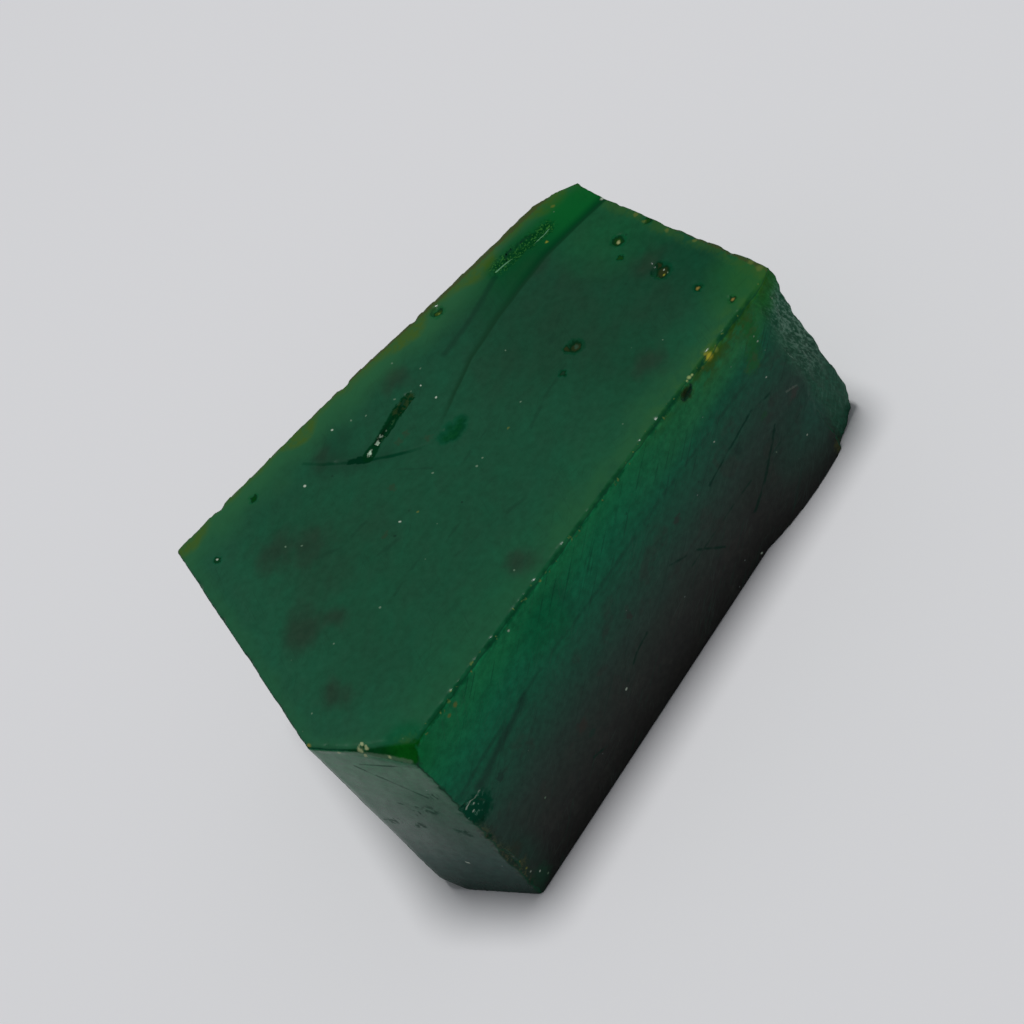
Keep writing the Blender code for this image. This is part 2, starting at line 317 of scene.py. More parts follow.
push = SAW_WAVE * swell(points, 8, 1) + FINE_WAVE * swell(points, 2.6, 2)
bite = np.clip(swell(points, 1.1, 3) + 0.5 * swell(points, 0.5, 4), 0, None)
far_side = rise(np.minimum(depth_inside("back"), depth_inside("far")), 3, 1)
push -= NIBBLE_DEPTH * (1 - 0.75 * far_side) * bite * np.exp(-((edge_distance / NIBBLE_REACH) ** 2))
print(f"sawn and nibbled: {push.min():.2f} to {push.max():.2f} mm")

# %% Splinters, long up the face and short across it, that lean with the break
SPLINTER_DEPTH = 0.26
SPLINTER_LEAN = 0.16
BAND_START = 33.9
BREAK_LUMPS = 0.12


def splinters():
    """The push of the broken end and of the band beside it on the front."""
    x, y, z = points.T
    leaning = points + np.outer(z, [SPLINTER_LEAN, 0, 0])
    splinter = swell(leaning, (0.75, 0.75, 3.2), 5) + 0.6 * swell(leaning, (0.45, 0.45, 1.4), 6)
    start = BAND_START + 0.9 * swell(points, 5, 7) + 0.9 * rise(z, 29, 34)
    band = looks_like("front", 0.7, 0.9) * rise(x, start, start + 1.4) * (0.35 + 0.65 * rise(z, 6, 14))
    broken = looks_like("far", 0.45, 0.8) * rise(x, 30, 34)
    depths = SPLINTER_DEPTH * rise(depth_inside("top"), 0.3, 3)
    return depths * splinter * np.maximum(band, broken) + BREAK_LUMPS * broken * swell(points, 1.6, 8)


push += splinters()
print(f"splintered: {push.min():.2f} to {push.max():.2f} mm")

# %% The natural skin of the back, and the uneven left end
SKIN_DEPTH = 0.34
SKIN_GRAIN = 0.12
PIT_DEPTH = 0.5


def natural_skin():
    """The push of the skin: slow lumps with small pits."""
    skin = looks_like("back", 0.5, 0.85) * rise(points @ PLANES["back"][0], 15, 19)
    skin *= rise(depth_inside("top"), 0.3, 4)
    pits = np.clip(swell(points, 1.3, 9) - 0.25, 0, None)
    lumps = SKIN_DEPTH * swell(points, 3.8, 10) + SKIN_GRAIN * swell(points, 0.9, 11)
    return skin * (lumps - PIT_DEPTH * pits)


push += natural_skin()
push += looks_like("left", 0.8, 0.95) * (0.05 * swell(points, 5, 12) + 0.02 * swell(points, (6, 6, 0.8), 13))
print(f"with the skin: {push.min():.2f} to {push.max():.2f} mm")

# %% The crack, the scars and the hollow of the top
CRACK_DEPTH = 0.08
LENS_DEPTH = 0.1
HOLLOW_DEPTH = 0.12


def top_marks():
    """The push of the open crack with its lens, of three rough scars and of a shallow hollow."""
    upper = rise(ways[:, 2], 0.4, 0.8)
    crack = stroke_distance(points, [top_point(*place) for place in FEATHER_CRACK])
    lens = stroke_distance(points, [top_point(*place) for place in CRACK_LENS])
    hollow = oval(points, top_point(-5.4, 14.6), 7.0, 5.4, -38, core=0.0)
    opened = CRACK_DEPTH * rise(crack, 0.5, 0.1) + LENS_DEPTH * rise(lens, 0.75, 0.15)
    scar = oval(points, top_point(30.5, 11.2), 5.2, 1.7, -21)
    leaf = oval(points, top_point(2.8, 1.1), 2.6, 1.4, -8)
    head = oval(points, top_point(3.5, 10.1), 2.2, 1.0, 4)
    rough = 0.07 * scar * swell(points, 0.6, 14) + 0.04 * leaf * swell(points, 0.7, 15)
    rough += 0.08 * head * swell(points, 0.6, 16)
    return rough - upper * (opened + HOLLOW_DEPTH * hollow)


push += top_marks()
print(f"with the marks: {push.min():.2f} to {push.max():.2f} mm")

# %% [markdown]
# ## Moving the points
# The push fades out above the flat base, so that the block stands still, and one corner of the foot is worn
# in a little more. No point may leave the solid's box.

# %% Push the fine net into shape
BASE_KEEP = 0.4
FOOT_CORNER = (39.0, -22.9, 0.8)
FOOT_REACH = (1.6, 1.6, 2.6)
FOOT_WEAR = (-0.34, 0.2, 0.0)

push *= rise(points[:, 2], BASE_KEEP * 0.5, BASE_KEEP * 2)
moved = points + ways * push[:, None]
near_foot = np.exp(-(((points - FOOT_CORNER) / FOOT_REACH) ** 2).sum(axis=1))
moved += near_foot[:, None] * FOOT_WEAR
low, high = (np.array(corner) / MM for corner in cad_box)
moved = np.clip(moved, low, high)
block.data.vertices.foreach_set("co", (moved * MM).astype(np.float32).ravel())
block.data.update()
print(f"pushed by {push.min():.2f} to {push.max():.2f} mm, {push.std():.3f} mm on average")

# %% [markdown]
# ## Thinning the net
# The net has more triangles than the piece needs. Decimation folds away the flat ones first and keeps the
# small ones where the stone is splintered or chipped. A few points come to lie on the same spot at the foot,
# and a weld joins them, because the triangles between them have no area.

# %% Thin the net, weld it and shade it smooth
SAME_SPOT = 0.001 * MM

before = sum(len(face.vertices) - 2 for face in block.data.polygons)
if before > TRIANGLES:
    thin = block.modifiers.new("thinned", "DECIMATE")
    thin.ratio = TRIANGLES / before
weld = block.modifiers.new("welded", "WELD")
weld.merge_threshold = SAME_SPOT
applied(block)
block.data.shade_smooth()
block.data.calc_loop_triangles()
print("triangles:", before, "->", len(block.data.loop_triangles))

# %% [markdown]
# ## Writing shader maths as sums
# A node material is a sum written with boxes and wires. One small class wraps a node's output, so that
# Python's own signs add the Math nodes, and 1 - mask works as it reads. Any other node comes from one
# function. A colour grows in layers, as paint does: lay mixes another colour over it, and tint multiplies it.

# %% An empty material
green_stone = bpy.data.materials.new("green_stone")
green_stone.use_nodes = True
TREE = green_stone.node_tree
TREE.nodes.remove(TREE.nodes["Principled BSDF"])
print("nodes to start with:", len(TREE.nodes))

# %% The class that turns sums into nodes
class Wire:
    """One output of a node. Its operators add the nodes that work on it."""

    def __init__(self, socket):
        self.socket = socket

    def __add__(self, other):
        return maths("ADD", self, other)

    def __sub__(self, other):
        return maths("SUBTRACT", self, other)

    def __rsub__(self, other):
        return maths("SUBTRACT", other, self)

    def __mul__(self, other):
        return maths("MULTIPLY", self, other)

    def __truediv__(self, other):
        return maths("DIVIDE", self, other)

    __radd__ = __add__
    __rmul__ = __mul__

    def least(self, other):
        return maths("MINIMUM", self, other)

    def most(self, other):
        return maths("MAXIMUM", self, other)

    def dot(self, way):
        return maths("DOT_PRODUCT", self, tuple(way))

    def lay(self, share, colour, blend="MIX"):
        """Lays another colour over this one, where share is above 0."""
        self.socket = mix(share, self, colour, blend).socket

    def tint(self, colour):
        """Multiplies this colour by another."""
        self.lay(1.0, colour, "MULTIPLY")


print("Wire:", Wire.__doc__)

# %% One function for every other node
def fill(socket, value):
    """Links a socket to a wire, or sets it to a number, a colour or a vector."""
    if isinstance(value, Wire):
        TREE.links.new(value.socket, socket)
    elif socket.type == "VECTOR" and isinstance(value, (int, float)):
        socket.default_value = [value] * 3
    else:
        socket.default_value = (*value, 1) if socket.type == "RGBA" else value


def set_stops(strip, stops):
    """Gives a colour ramp its stops, each a place between 0 and 1 and a colour."""
    while len(strip.elements) < len(stops):
        strip.elements.new(1)
    for element, (position, colour) in zip(strip.elements, stops):
        element.position = position
        element.color = (*colour, 1)


def node(kind, settings, inputs, output=None):
    """Adds a node: its kind, its settings, the values or wires of its sockets, and the output wanted."""
    made = TREE.nodes.new(kind)
    for name, value in settings.items():
        if name == "stops":
            set_stops(made.color_ramp, value)
        else:
            setattr(made, name, value)
    for key, value in inputs.items():
        named = [socket for socket in made.inputs if socket.enabled and socket.name == key]
        fill(made.inputs[key] if isinstance(key, int) else named[0], value)
    return Wire(next(socket for socket in made.outputs if socket.enabled and output in (None, socket.name)))


print("node:", node.__doc__)

# %% Short names for the nodes that come up most
def maths(operation, *inputs):
    """Adds a Math node, or a Vector Math node where a vector goes in."""
    wired = [item.socket.type for item in inputs if isinstance(item, Wire)]
    kind = "ShaderNodeVectorMath" if "VECTOR" in wired else "ShaderNodeMath"
    return node(kind, {"operation": operation}, dict(enumerate(inputs)))


def mix(factor, first, second, blend="MIX"):
    """A colour between two colours."""
    settings = {"data_type": "RGBA", "blend_type": blend, "clamp_factor": True}
    return node("ShaderNodeMix", settings, {"Factor": factor, "A": first, "B": second})


def soft(value, start, end, low=0.0, high=1.0):
    """Goes smoothly from low where value is start to high where it is end."""
    ends = {"Value": value, "From Min": start, "From Max": end, "To Min": low, "To Max": high}
    return node("ShaderNodeMapRange", {"interpolation_type": "SMOOTHSTEP", "clamp": False}, ends)


def ramp(value, stops):
    """A colour read from a strip of colours."""
    return node("ShaderNodeValToRGB", {"stops": stops}, {0: value})


print("short names:", [short.__name__ for short in (maths, mix, soft, ramp)])


# %% [markdown]
# ## Measuring the stone inside the material
# The material reads its place in the block in millimetres, and uses the same planes as the mesh did. Height
# drives the shade of the front, and distance from the sides the glow of the rims. The object's own
# coordinates and normals keep the finish fixed to the stone, whichever side is looked at.

# %% Places, depths and faces
object_place = node("ShaderNodeTexCoord", {}, {}, "Object")
place = object_place * (1 / MM)
way = node("ShaderNodeTexCoord", {}, {}, "Normal")
along = place.dot((1, 0, 0))
across = place.dot((0, 1, 0))
height = place.dot((0, 0, 1))


def depth(name):
    """How far a point lies inside one face's plane, in millimetres."""
    normal, distance = PLANES[name]
    return distance - place.dot(normal)


def facing(name, start, end):
    """1 on the surface that looks the way one face does, 0 on the others."""
    return soft(way.dot(PLANES[name][0]), start, end)


top_depth = depth("top")
front_depth = depth("front").least(depth("strip"))
back_depth = depth("back")
end_depth = depth("end")
on_top = soft(way.dot((0, 0, 1)), 0.55, 0.85)
on_front = facing("front", 0.72, 0.92) * soft(front_depth, 6, 4)
print("nodes for measuring:", len(TREE.nodes))

# %% [markdown]
# ## Noise, strokes and spots in the material
# Clouds and grain are noise in cells of a stated size. Cracks and scratches are strokes again, and pits and
# stains are spots, each placed on a face by two lengths. A shared shake bends every stroke and spot a little
# and breaks the strokes here and there, because nothing in a stone is ruled straight or perfectly round.

# %% Noise in cells of a stated size
SEED_STEPS = (137.1, 79.3, 31.7)
SHAKE = 0.7


def cells(size, seed, turn=(0, 0, 0)):
    """Places counted in cells of a size in millimetres, which may differ by axis, turned by degrees."""
    sizes = size if isinstance(size, tuple) else (size,) * 3
    inputs = {
        "Vector": object_place,
        "Location": tuple(seed * step * MM for step in SEED_STEPS),
        "Rotation": tuple(math.radians(angle) for angle in turn),
        "Scale": tuple(length * MM for length in sizes),
    }
    return node("ShaderNodeMapping", {"vector_type": "TEXTURE"}, inputs)


def grain(size, detail=2.0, seed=0, turn=(0, 0, 0), roughness=0.5):
    """Noise between 0 and 1, in cells of a size in millimetres."""
    inputs = {"Vector": cells(size, seed, turn), "Scale": 1.0, "Detail": detail, "Roughness": roughness}
    return node("ShaderNodeTexNoise", {"noise_dimensions": "3D"}, inputs)


crumb = grain(0.5, seed=11)
shake = SHAKE * (grain(1.4, seed=14) - 0.5)
breaks = soft(grain(2.2, seed=15), 0.36, 0.52)
crumbs = 1.3 * (crumb - 0.5)
print("nodes with the shared noise:", len(TREE.nodes))

# %% Strokes
def strongest(masks):
    """The most of several masks."""
    return functools.reduce(Wire.most, masks)


def closest(gaps):
    """The least of several distances."""
    return functools.reduce(Wire.least, gaps)


def run_gap(start, end, level):
    """The distance from a straight run, in millimetres."""
    run = (end - start) * (1, 1, 1 - level)
    away = place * (1, 1, 0) - (start[0], start[1], 0) if level else place - tuple(start)
    part = away.dot(run / (run @ run)).most(0.0).least(1.0)
    beside = node("ShaderNodeVectorMath", {"operation": "SCALE"}, {0: tuple(run), "Scale": part})
    return maths("LENGTH", away - beside)


def stroke_gap(point, places, level=False):
    """The distance from a line through a few places of a face. A level one takes no notice of height."""
    stops = [np.array(point(*pair)) for pair in places]
    return closest(run_gap(start, end, level) for start, end in zip(stops, stops[1:]))


def stroke(point, places, width):
    """1 on a slightly shaken line through a few places, fading to 0 at its width in millimetres."""
    return soft(stroke_gap(point, places) + shake * min(1.0, 3 * width), width, 0.1 * width)


def strokes(point, lines):
    """1 on any of several lines, each a list of places and a width."""
    return strongest(stroke(point, places, width) for places, width in lines)


print("a stroke is", stroke.__doc__)

# %% Spots
def spot_gap(centre):
    """The distance from a place, in millimetres."""
    return maths("DISTANCE", place, tuple(centre))


def spot(centre, radius, wobble):
    """1 in the middle of a spot with a crumbly outline, fading to 0 at its radius in millimetres."""
    return soft(spot_gap(centre) + wobble, radius, 0.25 * radius)


def spots(point, places, wobble):
    """1 on any of several spots of a face, each two lengths and a radius."""
    return strongest(spot(point(*pair), radius, wobble) for *pair, radius in places)


print("a spot is", spot.__doc__)


# %% [markdown]
# ## The body colour of the top
# Dark green with slow clouds, deeper towards the broken end and browner where inclusions lie under the
# surface.
# Painted glow, where light comes through the stone, lightens it towards the front edge, bluer at the left,
# and near the middle of the broken end. The slow clouds are large noise. The inclusions are listed one by
# one, because their number and spread give this block its look.

# %% Clouds and inclusions on the top
DEEP_GREEN = (0.004, 0.054, 0.0235)
BODY_GREEN = (0.0056, 0.0665, 0.03)
LEFT_GLOW_TEAL = (0.0085, 0.081, 0.039)
NEAR_FRONT_GLOW = (0.006, 0.084, 0.034)
CLOUD_BROWN = (0.011, 0.038, 0.0195)
RIGHT_END_GLOW = (0.0065, 0.082, 0.0285)
WHITE = (1.0, 1.0, 1.0)
DARK_CLOUDS = [
    (-21.5, 12, 3.6), (-19, 8, 3), (-28.7, 0.6, 3.6), (-26, -1.8, 2.2), (-34.6, -9.4, 2.4), (-7, 16, 2.3),
    (6, 14.5, 2.6), (28.3, 8.8, 3.4), (21.5, -17, 2.6), (34.3, -7.6, 2.6), (-9.6, -20, 2.4),
]
HAZY_CLOUDS = [(20, -3, 9), (26, 0, 7), (14, 0, 6), (-13, 1, 4), (30, -12, 5), (-20, 4, 6)]

uneven = grain(5, seed=4) - 0.5
cloud = grain(14, detail=3, seed=1)
small_cloud = grain((4.2, 2.6, 3.0), detail=3, seed=2, turn=(0, 0, 32))
wobble = 4.6 * (small_cloud - 0.5)


def clouds(places):
    """1 in the middle of soft clouds under the top, each two lengths and a radius that it fades out past."""
    return strongest(
        soft(spot_gap(top_point(x, y)) + 0.8 * wobble, 1.35 * radius, 0.1 * radius) for x, y, radius in places
    )


to_right = soft(along + 22 * (cloud - 0.5), 4, 24)
top = mix(to_right, BODY_GREEN, DEEP_GREEN)
# Painted glow: lighter and bluer towards the left end and the left side, where light comes through the stone.
left_glow = soft(end_depth.least(depth("left")) + 12 * (cloud - 0.5), 14, 1)
top.lay(0.6 * left_glow, LEFT_GLOW_TEAL)
# Painted glow: lighter towards the front edge.
near_front_glow = soft(front_depth + 9 * (cloud - 0.5), 11, 1)
top.lay(0.8 * near_front_glow, NEAR_FRONT_GLOW)
top.lay(0.3 * clouds(HAZY_CLOUDS), CLOUD_BROWN)
top.lay(0.85 * clouds(DARK_CLOUDS), CLOUD_BROWN)
# Painted glow near the middle of the broken end.
right_glow = soft(spot_gap(top_point(36.5, 1)) + 5 * uneven, 10, 2)
top.lay(0.8 * right_glow, RIGHT_END_GLOW)
mottle = grain(1.0, detail=4, seed=3, roughness=0.6)
mottled = ramp(mottle, [(0.3, (0.80, 0.87, 0.85)), (0.5, WHITE), (0.72, (1.24, 1.12, 1.15))])
top.tint(ramp(small_cloud, [(0.3, (1.16, 0.95, 0.97)), (0.5, WHITE), (0.7, (0.86, 1.06, 1.06))]))
top.tint(mottled)
print("inclusions:", len(DARK_CLOUDS) + len(HAZY_CLOUDS))

# %% [markdown]
# ## Rims
# Light gets into the stone near an edge and comes out again, so the rims get a painted glow: the rim along
# the back is lighter and more yellow than the middle, the front corner at the broken end is lighter too, and
# the other edges of the top glow only a little. The back rim turns olive, most in a few places, with a brown
# line at the very edge.

# %% Paint glow and olive on the rims of the top
RIM_GLOW_GREEN = (0.017, 0.108, 0.037)
RIM_OLIVE = (0.042, 0.096, 0.008)
RIM_BROWN = (0.05, 0.048, 0.016)
FRONT_GLOW = (0.015, 0.093, 0.031)
CORNER_GLOW = (0.015, 0.098, 0.02)
OLIVE_PLACES = [(-6.5, 20.8, 4), (11.5, 17.6, 4.5), (25, 14.8, 4.5), (37.5, 11.6, 4.5), (-25, 24, 4.5)]

# Painted glow along the side, front and back rims and at the broken end's front corner.
side_rim_glow = soft(depth("left").least(end_depth).least(depth("far")) + 3 * uneven, 2.6, 0.2)
top.lay(0.3 * side_rim_glow, RIM_GLOW_GREEN)
front_rim_glow = soft(front_depth + 7 * uneven + 0.5 * wobble, 6, 0.4)
front_rim_glow = front_rim_glow * soft(small_cloud, 0.3, 0.55, 0.45, 1)
top.lay(front_rim_glow * soft(along, -18, 8, 0.15, 0.75), FRONT_GLOW)
corner_glow = soft(spot_gap(top_point(38, -22)) + 4 * uneven + 0.6 * wobble, 9.5, 1.5)
top.lay(0.7 * corner_glow, CORNER_GLOW)
back_rim_glow = soft(back_depth + 4.0 * uneven, 7, 0.8)
top.lay(0.85 * back_rim_glow, RIM_GLOW_GREEN)
olive_here = spots(top_point, OLIVE_PLACES, 2 * uneven)
olive = soft(back_depth + 2.4 * uneven - 1.8 * olive_here, 1.7, 0.1) * soft(mottle, 0.35, 0.6, 0.5, 1)
top.lay(0.85 * olive, RIM_OLIVE)
far_rim = soft(depth("far") + 2 * uneven + 1.2 * crumbs, 2.2, 0.6)
top.lay(0.35 * far_rim * breaks, RIM_OLIVE)
brown_line = soft(back_depth.least(depth("far")) + 0.8 * (crumb - 0.5), 0.5, 0.2)
top.lay(0.6 * brown_line, RIM_BROWN)
print("olive places:", len(OLIVE_PLACES))

# %% [markdown]
# ## The strip of the second saw pass
# The back of the top was sawn a second time at a small angle. The stone there is a purer green, strongest at
# the broken end, and a painted shadow lies along the crease where the two cuts meet: broad at the broken end,
# thin and faint where it runs out. Its curve is a few places joined up, each run adding its own climb.

# %% Colour the second saw pass
PASS_LINE = [(3, 3.3), (8, 4.6), (13, 5.9), (19, 6.5), (25, 6.6), (30, 6.4), (35, 5.6), (41.2, 4.4)]
PASS_GREEN = (0.003, 0.064, 0.018)
PASS_BRIGHT = (0.0035, 0.098, 0.019)
PASS_SHADOW = (0.001, 0.034, 0.011)

climbs = (
    (along.most(x0).least(x1) - x0) * ((y1 - y0) / (x1 - x0))
    for (x0, y0), (x1, y1) in zip(PASS_LINE, PASS_LINE[1:])
)
past_line = across - sum(climbs, PASS_LINE[0][1]) + 0.5 * uneven
in_pass = soft(past_line, -0.3, 0.9) * soft(along, 2, 26)
pass_green = mix(soft(along, 29, 37), PASS_GREEN, PASS_BRIGHT)
pure = soft(past_line + 3 * uneven, 9, 4.5) * soft(along + 6 * uneven, 14, 31)
top.lay(0.9 * in_pass * pure, pass_green)
# Painted shadow along the crease.
crease_width = soft(along, 6, 32, 1.0, 2.1)
crease = soft(past_line, -0.18, 0.15) * soft(past_line / crease_width, 1.0, 0.08)
top.lay(0.85 * crease * soft(along, 0.5, 8), PASS_SHADOW)
print("second pass: the crease has", len(PASS_LINE) - 1, "runs")

# %% [markdown]
# ## Cracks, scratches and hairlines on the top
# A feather crack crosses the top past the gouge, opens into a dark lens and thins out again. A painted shadow
# lies along it, and painted shade darkens the shallow hollow beside it. Shallow scratches are strokes, hardly
# darker than the stone. Hair scratches are noise stretched forty times longer than wide, in a few directions,
# shown only where larger noise allows.

# %% Lines on the top
LINE_DARK = (0.0022, 0.03, 0.0135)
CRACK_DARK = (0.0008, 0.025, 0.01)
REDDISH = (0.022, 0.042, 0.018)
REDDISH_PLACES = [(-7.5, 3.3, 0.8), (0.5, 3.6, 0.7), (-13.5, -0.5, 0.7), (-1.6, 7, 0.8), (-0.2, 7.1, 0.7)]
PASS_FAINT = [(12, 10), (16, 10.2), (20, 10.8), (24.5, 11.6)]
TOP_SCRATCHES = [
    ([(-20, 6), (-17.5, 3.9), (-13, 3.3)], 0.42),
    ([(-19, 0.4), (-16, -1.6), (-13, -2.6)], 0.48),
    ([(-7.5, -3.1), (-2.8, -3.3)], 0.42),
    ([(-12, -11.2), (-6.5, -12.6), (-2, -14.2)], 0.45),
    ([(-20, -7.4), (-14, -6.9)], 0.35),
    ([(0, -3.2), (4.6, -3)], 0.38),
    ([(7, -8.4), (12, -7.2), (17, -6.6)], 0.38),
    ([(18.6, -2.6), (23, -1)], 0.38),
    ([(-11, -8.7), (-7.8, -8.6)], 0.38),
    ([(-5, 4.5), (-3, 0.2)], 0.32),
]
TOP_HAIRS = [(28, 31), (62, 32), (-12, 33)]


def hairs(turn, seed, width=0.14, length=6.0):
    """Long thin scratches in one direction."""
    sizes = (length, width, 4 * width) if turn[2] else (length, 4 * width, width)
    return soft(grain(sizes, detail=1, seed=seed, turn=turn), 0.63, 0.72)


hair_patches = soft(grain(5, seed=24), 0.42, 0.6)
top_hairs = hair_patches * strongest(hairs((0, 0, turn), seed) for turn, seed in TOP_HAIRS)
top.lay(0.22 * top_hairs, LINE_DARK)
top.lay(0.34 * breaks * strokes(top_point, TOP_SCRATCHES), LINE_DARK)
top.lay(0.55 * stroke(top_point, PASS_FAINT, 0.75), LINE_DARK)
crack_gap = stroke_gap(top_point, FEATHER_CRACK)
# Painted shadow along the crack.
crack_shadow = soft(crack_gap + 0.6 * wobble, 2.4, 0.1) * soft(across, 3, 8) * soft(across, 17, 13)
top.lay(0.4 * crack_shadow, LINE_DARK)
crack = soft(crack_gap + 0.4 * shake, 0.4, 0.08) * soft(across, 2.5, 6) * soft(across, 17, 12, 0.5, 1)
lens_gap = closest(
    stroke_gap(top_point, CRACK_LENS[first:]) - width for first, width in enumerate(LENS_WIDTHS)
)
lens = soft(lens_gap + 0.25 * crumbs, 0.12, -0.15)
top.lay((0.55 * crack).most(0.95 * lens), CRACK_DARK)
opened = crack.most(lens)
# Painted shade in the shallow hollow beside the crack.
hollow_shade = spot(top_point(-5.0, 15.0), 3.9, 0.6 * wobble)
top.lay(0.35 * hollow_shade, LINE_DARK)
top.lay(0.5 * spots(top_point, REDDISH_PLACES, 1.3 * crumbs), REDDISH)
print("scratches on the top:", len(TOP_SCRATCHES))

# %% [markdown]
# ## Gouge, scars and pits on the top
# Each broken place is crumbly inside and never shiny. The gouge gets painted shade where it is deep and a few
# painted glints on its wall, and the scar a painted highlight along the lip of its groove. The pits have a
# dark rim, and some hold a yellow or brown crust. The small crumbs are listed by their colour; the pale ones
# are partly pale specks and partly painted glints.

# %% The leaf, the gouge and the scar on the top
GOUGE_SHADE = (0.0008, 0.028, 0.008)
GOUGE_BROWN = (0.02, 0.042, 0.013)
GOUGE_GLINT = (0.45, 0.6, 0.45)
GOUGE_DIM_GLINT = (0.06, 0.15, 0.06)
LEAF_GREEN = (0.0015, 0.045, 0.012)
LEAF_DARK = (0.0008, 0.03, 0.011)
LEAF_LIGHT = (0.004, 0.064, 0.015)
SCAR_DARK = (0.001, 0.036, 0.007)
SCAR_LIGHT = (0.035, 0.16, 0.028)
LEAF_LOBES = [(1.5, 1.5, 0.65), (2.4, 1, 0.95), (3.4, 0.9, 0.8), (4.3, 1.2, 0.55), (3, 1.9, 0.4)]
GOUGE_LINE = [(-5, 9.5), (-3.2, 9.7), (-1.4, 9.9), (0.4, 10.1), (2.2, 10.3)]
GOUGE_HEAD = [(2, 10.2), (4.5, 10.3)]
GLINT_LINE = [(-4.9, 9.6), (-3.6, 9.9), (-2.6, 10.1), (-1.8, 10.2)]
SCAR_LINE = [(26.4, 12.3), (33.7, 10)]

crumbled = soft(crumb, 0.42, 0.62)
leaf_gap = closest(spot_gap(top_point(x, y)) - radius for x, y, radius in LEAF_LOBES) + 0.4 * crumbs
leaf_dark = soft(leaf_gap, 0.4, 0.0) * soft(across + 0.8 * crumbs, 1.5, 0.6)
top.lay(0.5 * leaf_dark, LEAF_DARK)
leaf_inside = mix(0.6 * crumbled, LEAF_GREEN, LEAF_LIGHT)
top.lay(0.7 * soft(leaf_gap, 0.3, -0.5), leaf_inside)
dull = soft(leaf_gap, 0.9, 0.2).most(opened)
# Painted shade fills the gouge where it is deep, with painted glints on its wall.
gouge_gap = stroke_gap(top_point, GOUGE_LINE)
gouge = soft(gouge_gap + 0.3 * crumbs, 1.0, 0.72)
glint_breaks = soft(grain(0.9, detail=3, seed=22), 0.46, 0.58)
glints = soft(stroke_gap(top_point, GLINT_LINE) + 1.2 * (crumb - 0.5), 0.38, 0.12) * glint_breaks
dim_glints = soft(gouge_gap + 1.6 * crumbs, 0.6, 0.2) * soft(crumb, 0.56, 0.66)
gouge_colour = mix(0.6 * dim_glints, GOUGE_SHADE, GOUGE_DIM_GLINT)
gouge_colour.lay(glints, GOUGE_GLINT)
top.lay(0.9 * gouge, gouge_colour)
gouge_head = soft(stroke_gap(top_point, GOUGE_HEAD) + 0.8 * crumbs, 1.0, 0.6)
top.lay(0.9 * gouge_head, mix(crumbled, GOUGE_SHADE, GOUGE_BROWN))
dull = dull.most(gouge).most(gouge_head)
scar_gap = stroke_gap(top_point, SCAR_LINE)
scar = soft(scar_gap + 1.8 * crumbs, 1.8, 0.6)
scar_grain = soft(grain(0.28, seed=18), 0.5, 0.66)
top.lay(0.75 * scar, mix(scar_grain, SCAR_DARK, SCAR_LIGHT))
dull = dull.most(soft(scar_gap, 2.8, 1.6))
print("lobes of the leaf:", len(LEAF_LOBES), " runs of the gouge:", len(GOUGE_LINE) - 1)

# %% Pits and crumbs on the top
PIT_BROWN = (0.024, 0.033, 0.011)
PIT_GREEN = (0.008, 0.05, 0.007)
PIT_RIM = (0.003, 0.024, 0.007)
PALE_MARK_AND_GLINT = (0.42, 0.50, 0.40)
DIM = (0.12, 0.20, 0.13)
YELLOW = (0.24, 0.24, 0.03)
MUSTARD = (0.085, 0.125, 0.028)
LIP_HIGHLIGHT = (0.16, 0.38, 0.22)
TOP_PITS = [
    (33.7, -9.8, 1.25, PIT_BROWN), (19.6, -6.1, 1.15, PIT_BROWN), (35.5, -1.1, 0.95, PIT_GREEN),
    (33.3, -15.9, 0.65, PIT_GREEN), (33.5, -21.3, 0.6, PIT_BROWN), (17, 15.7, 0.95, (0.04, 0.078, 0.01)),
    (-16.5, 20.2, 0.65, (0.002, 0.045, 0.006)), (-25.9, 18.6, 0.55, (0.004, 0.045, 0.014)),
    (33.4, -3.1, 0.5, PIT_GREEN), (15.6, -7.2, 0.5, CLOUD_BROWN), (34.4, -8.8, 0.5, PIT_BROWN),
    (18.9, -5.4, 0.6, PIT_BROWN), (39.8, -3, 0.7, PIT_GREEN),
]
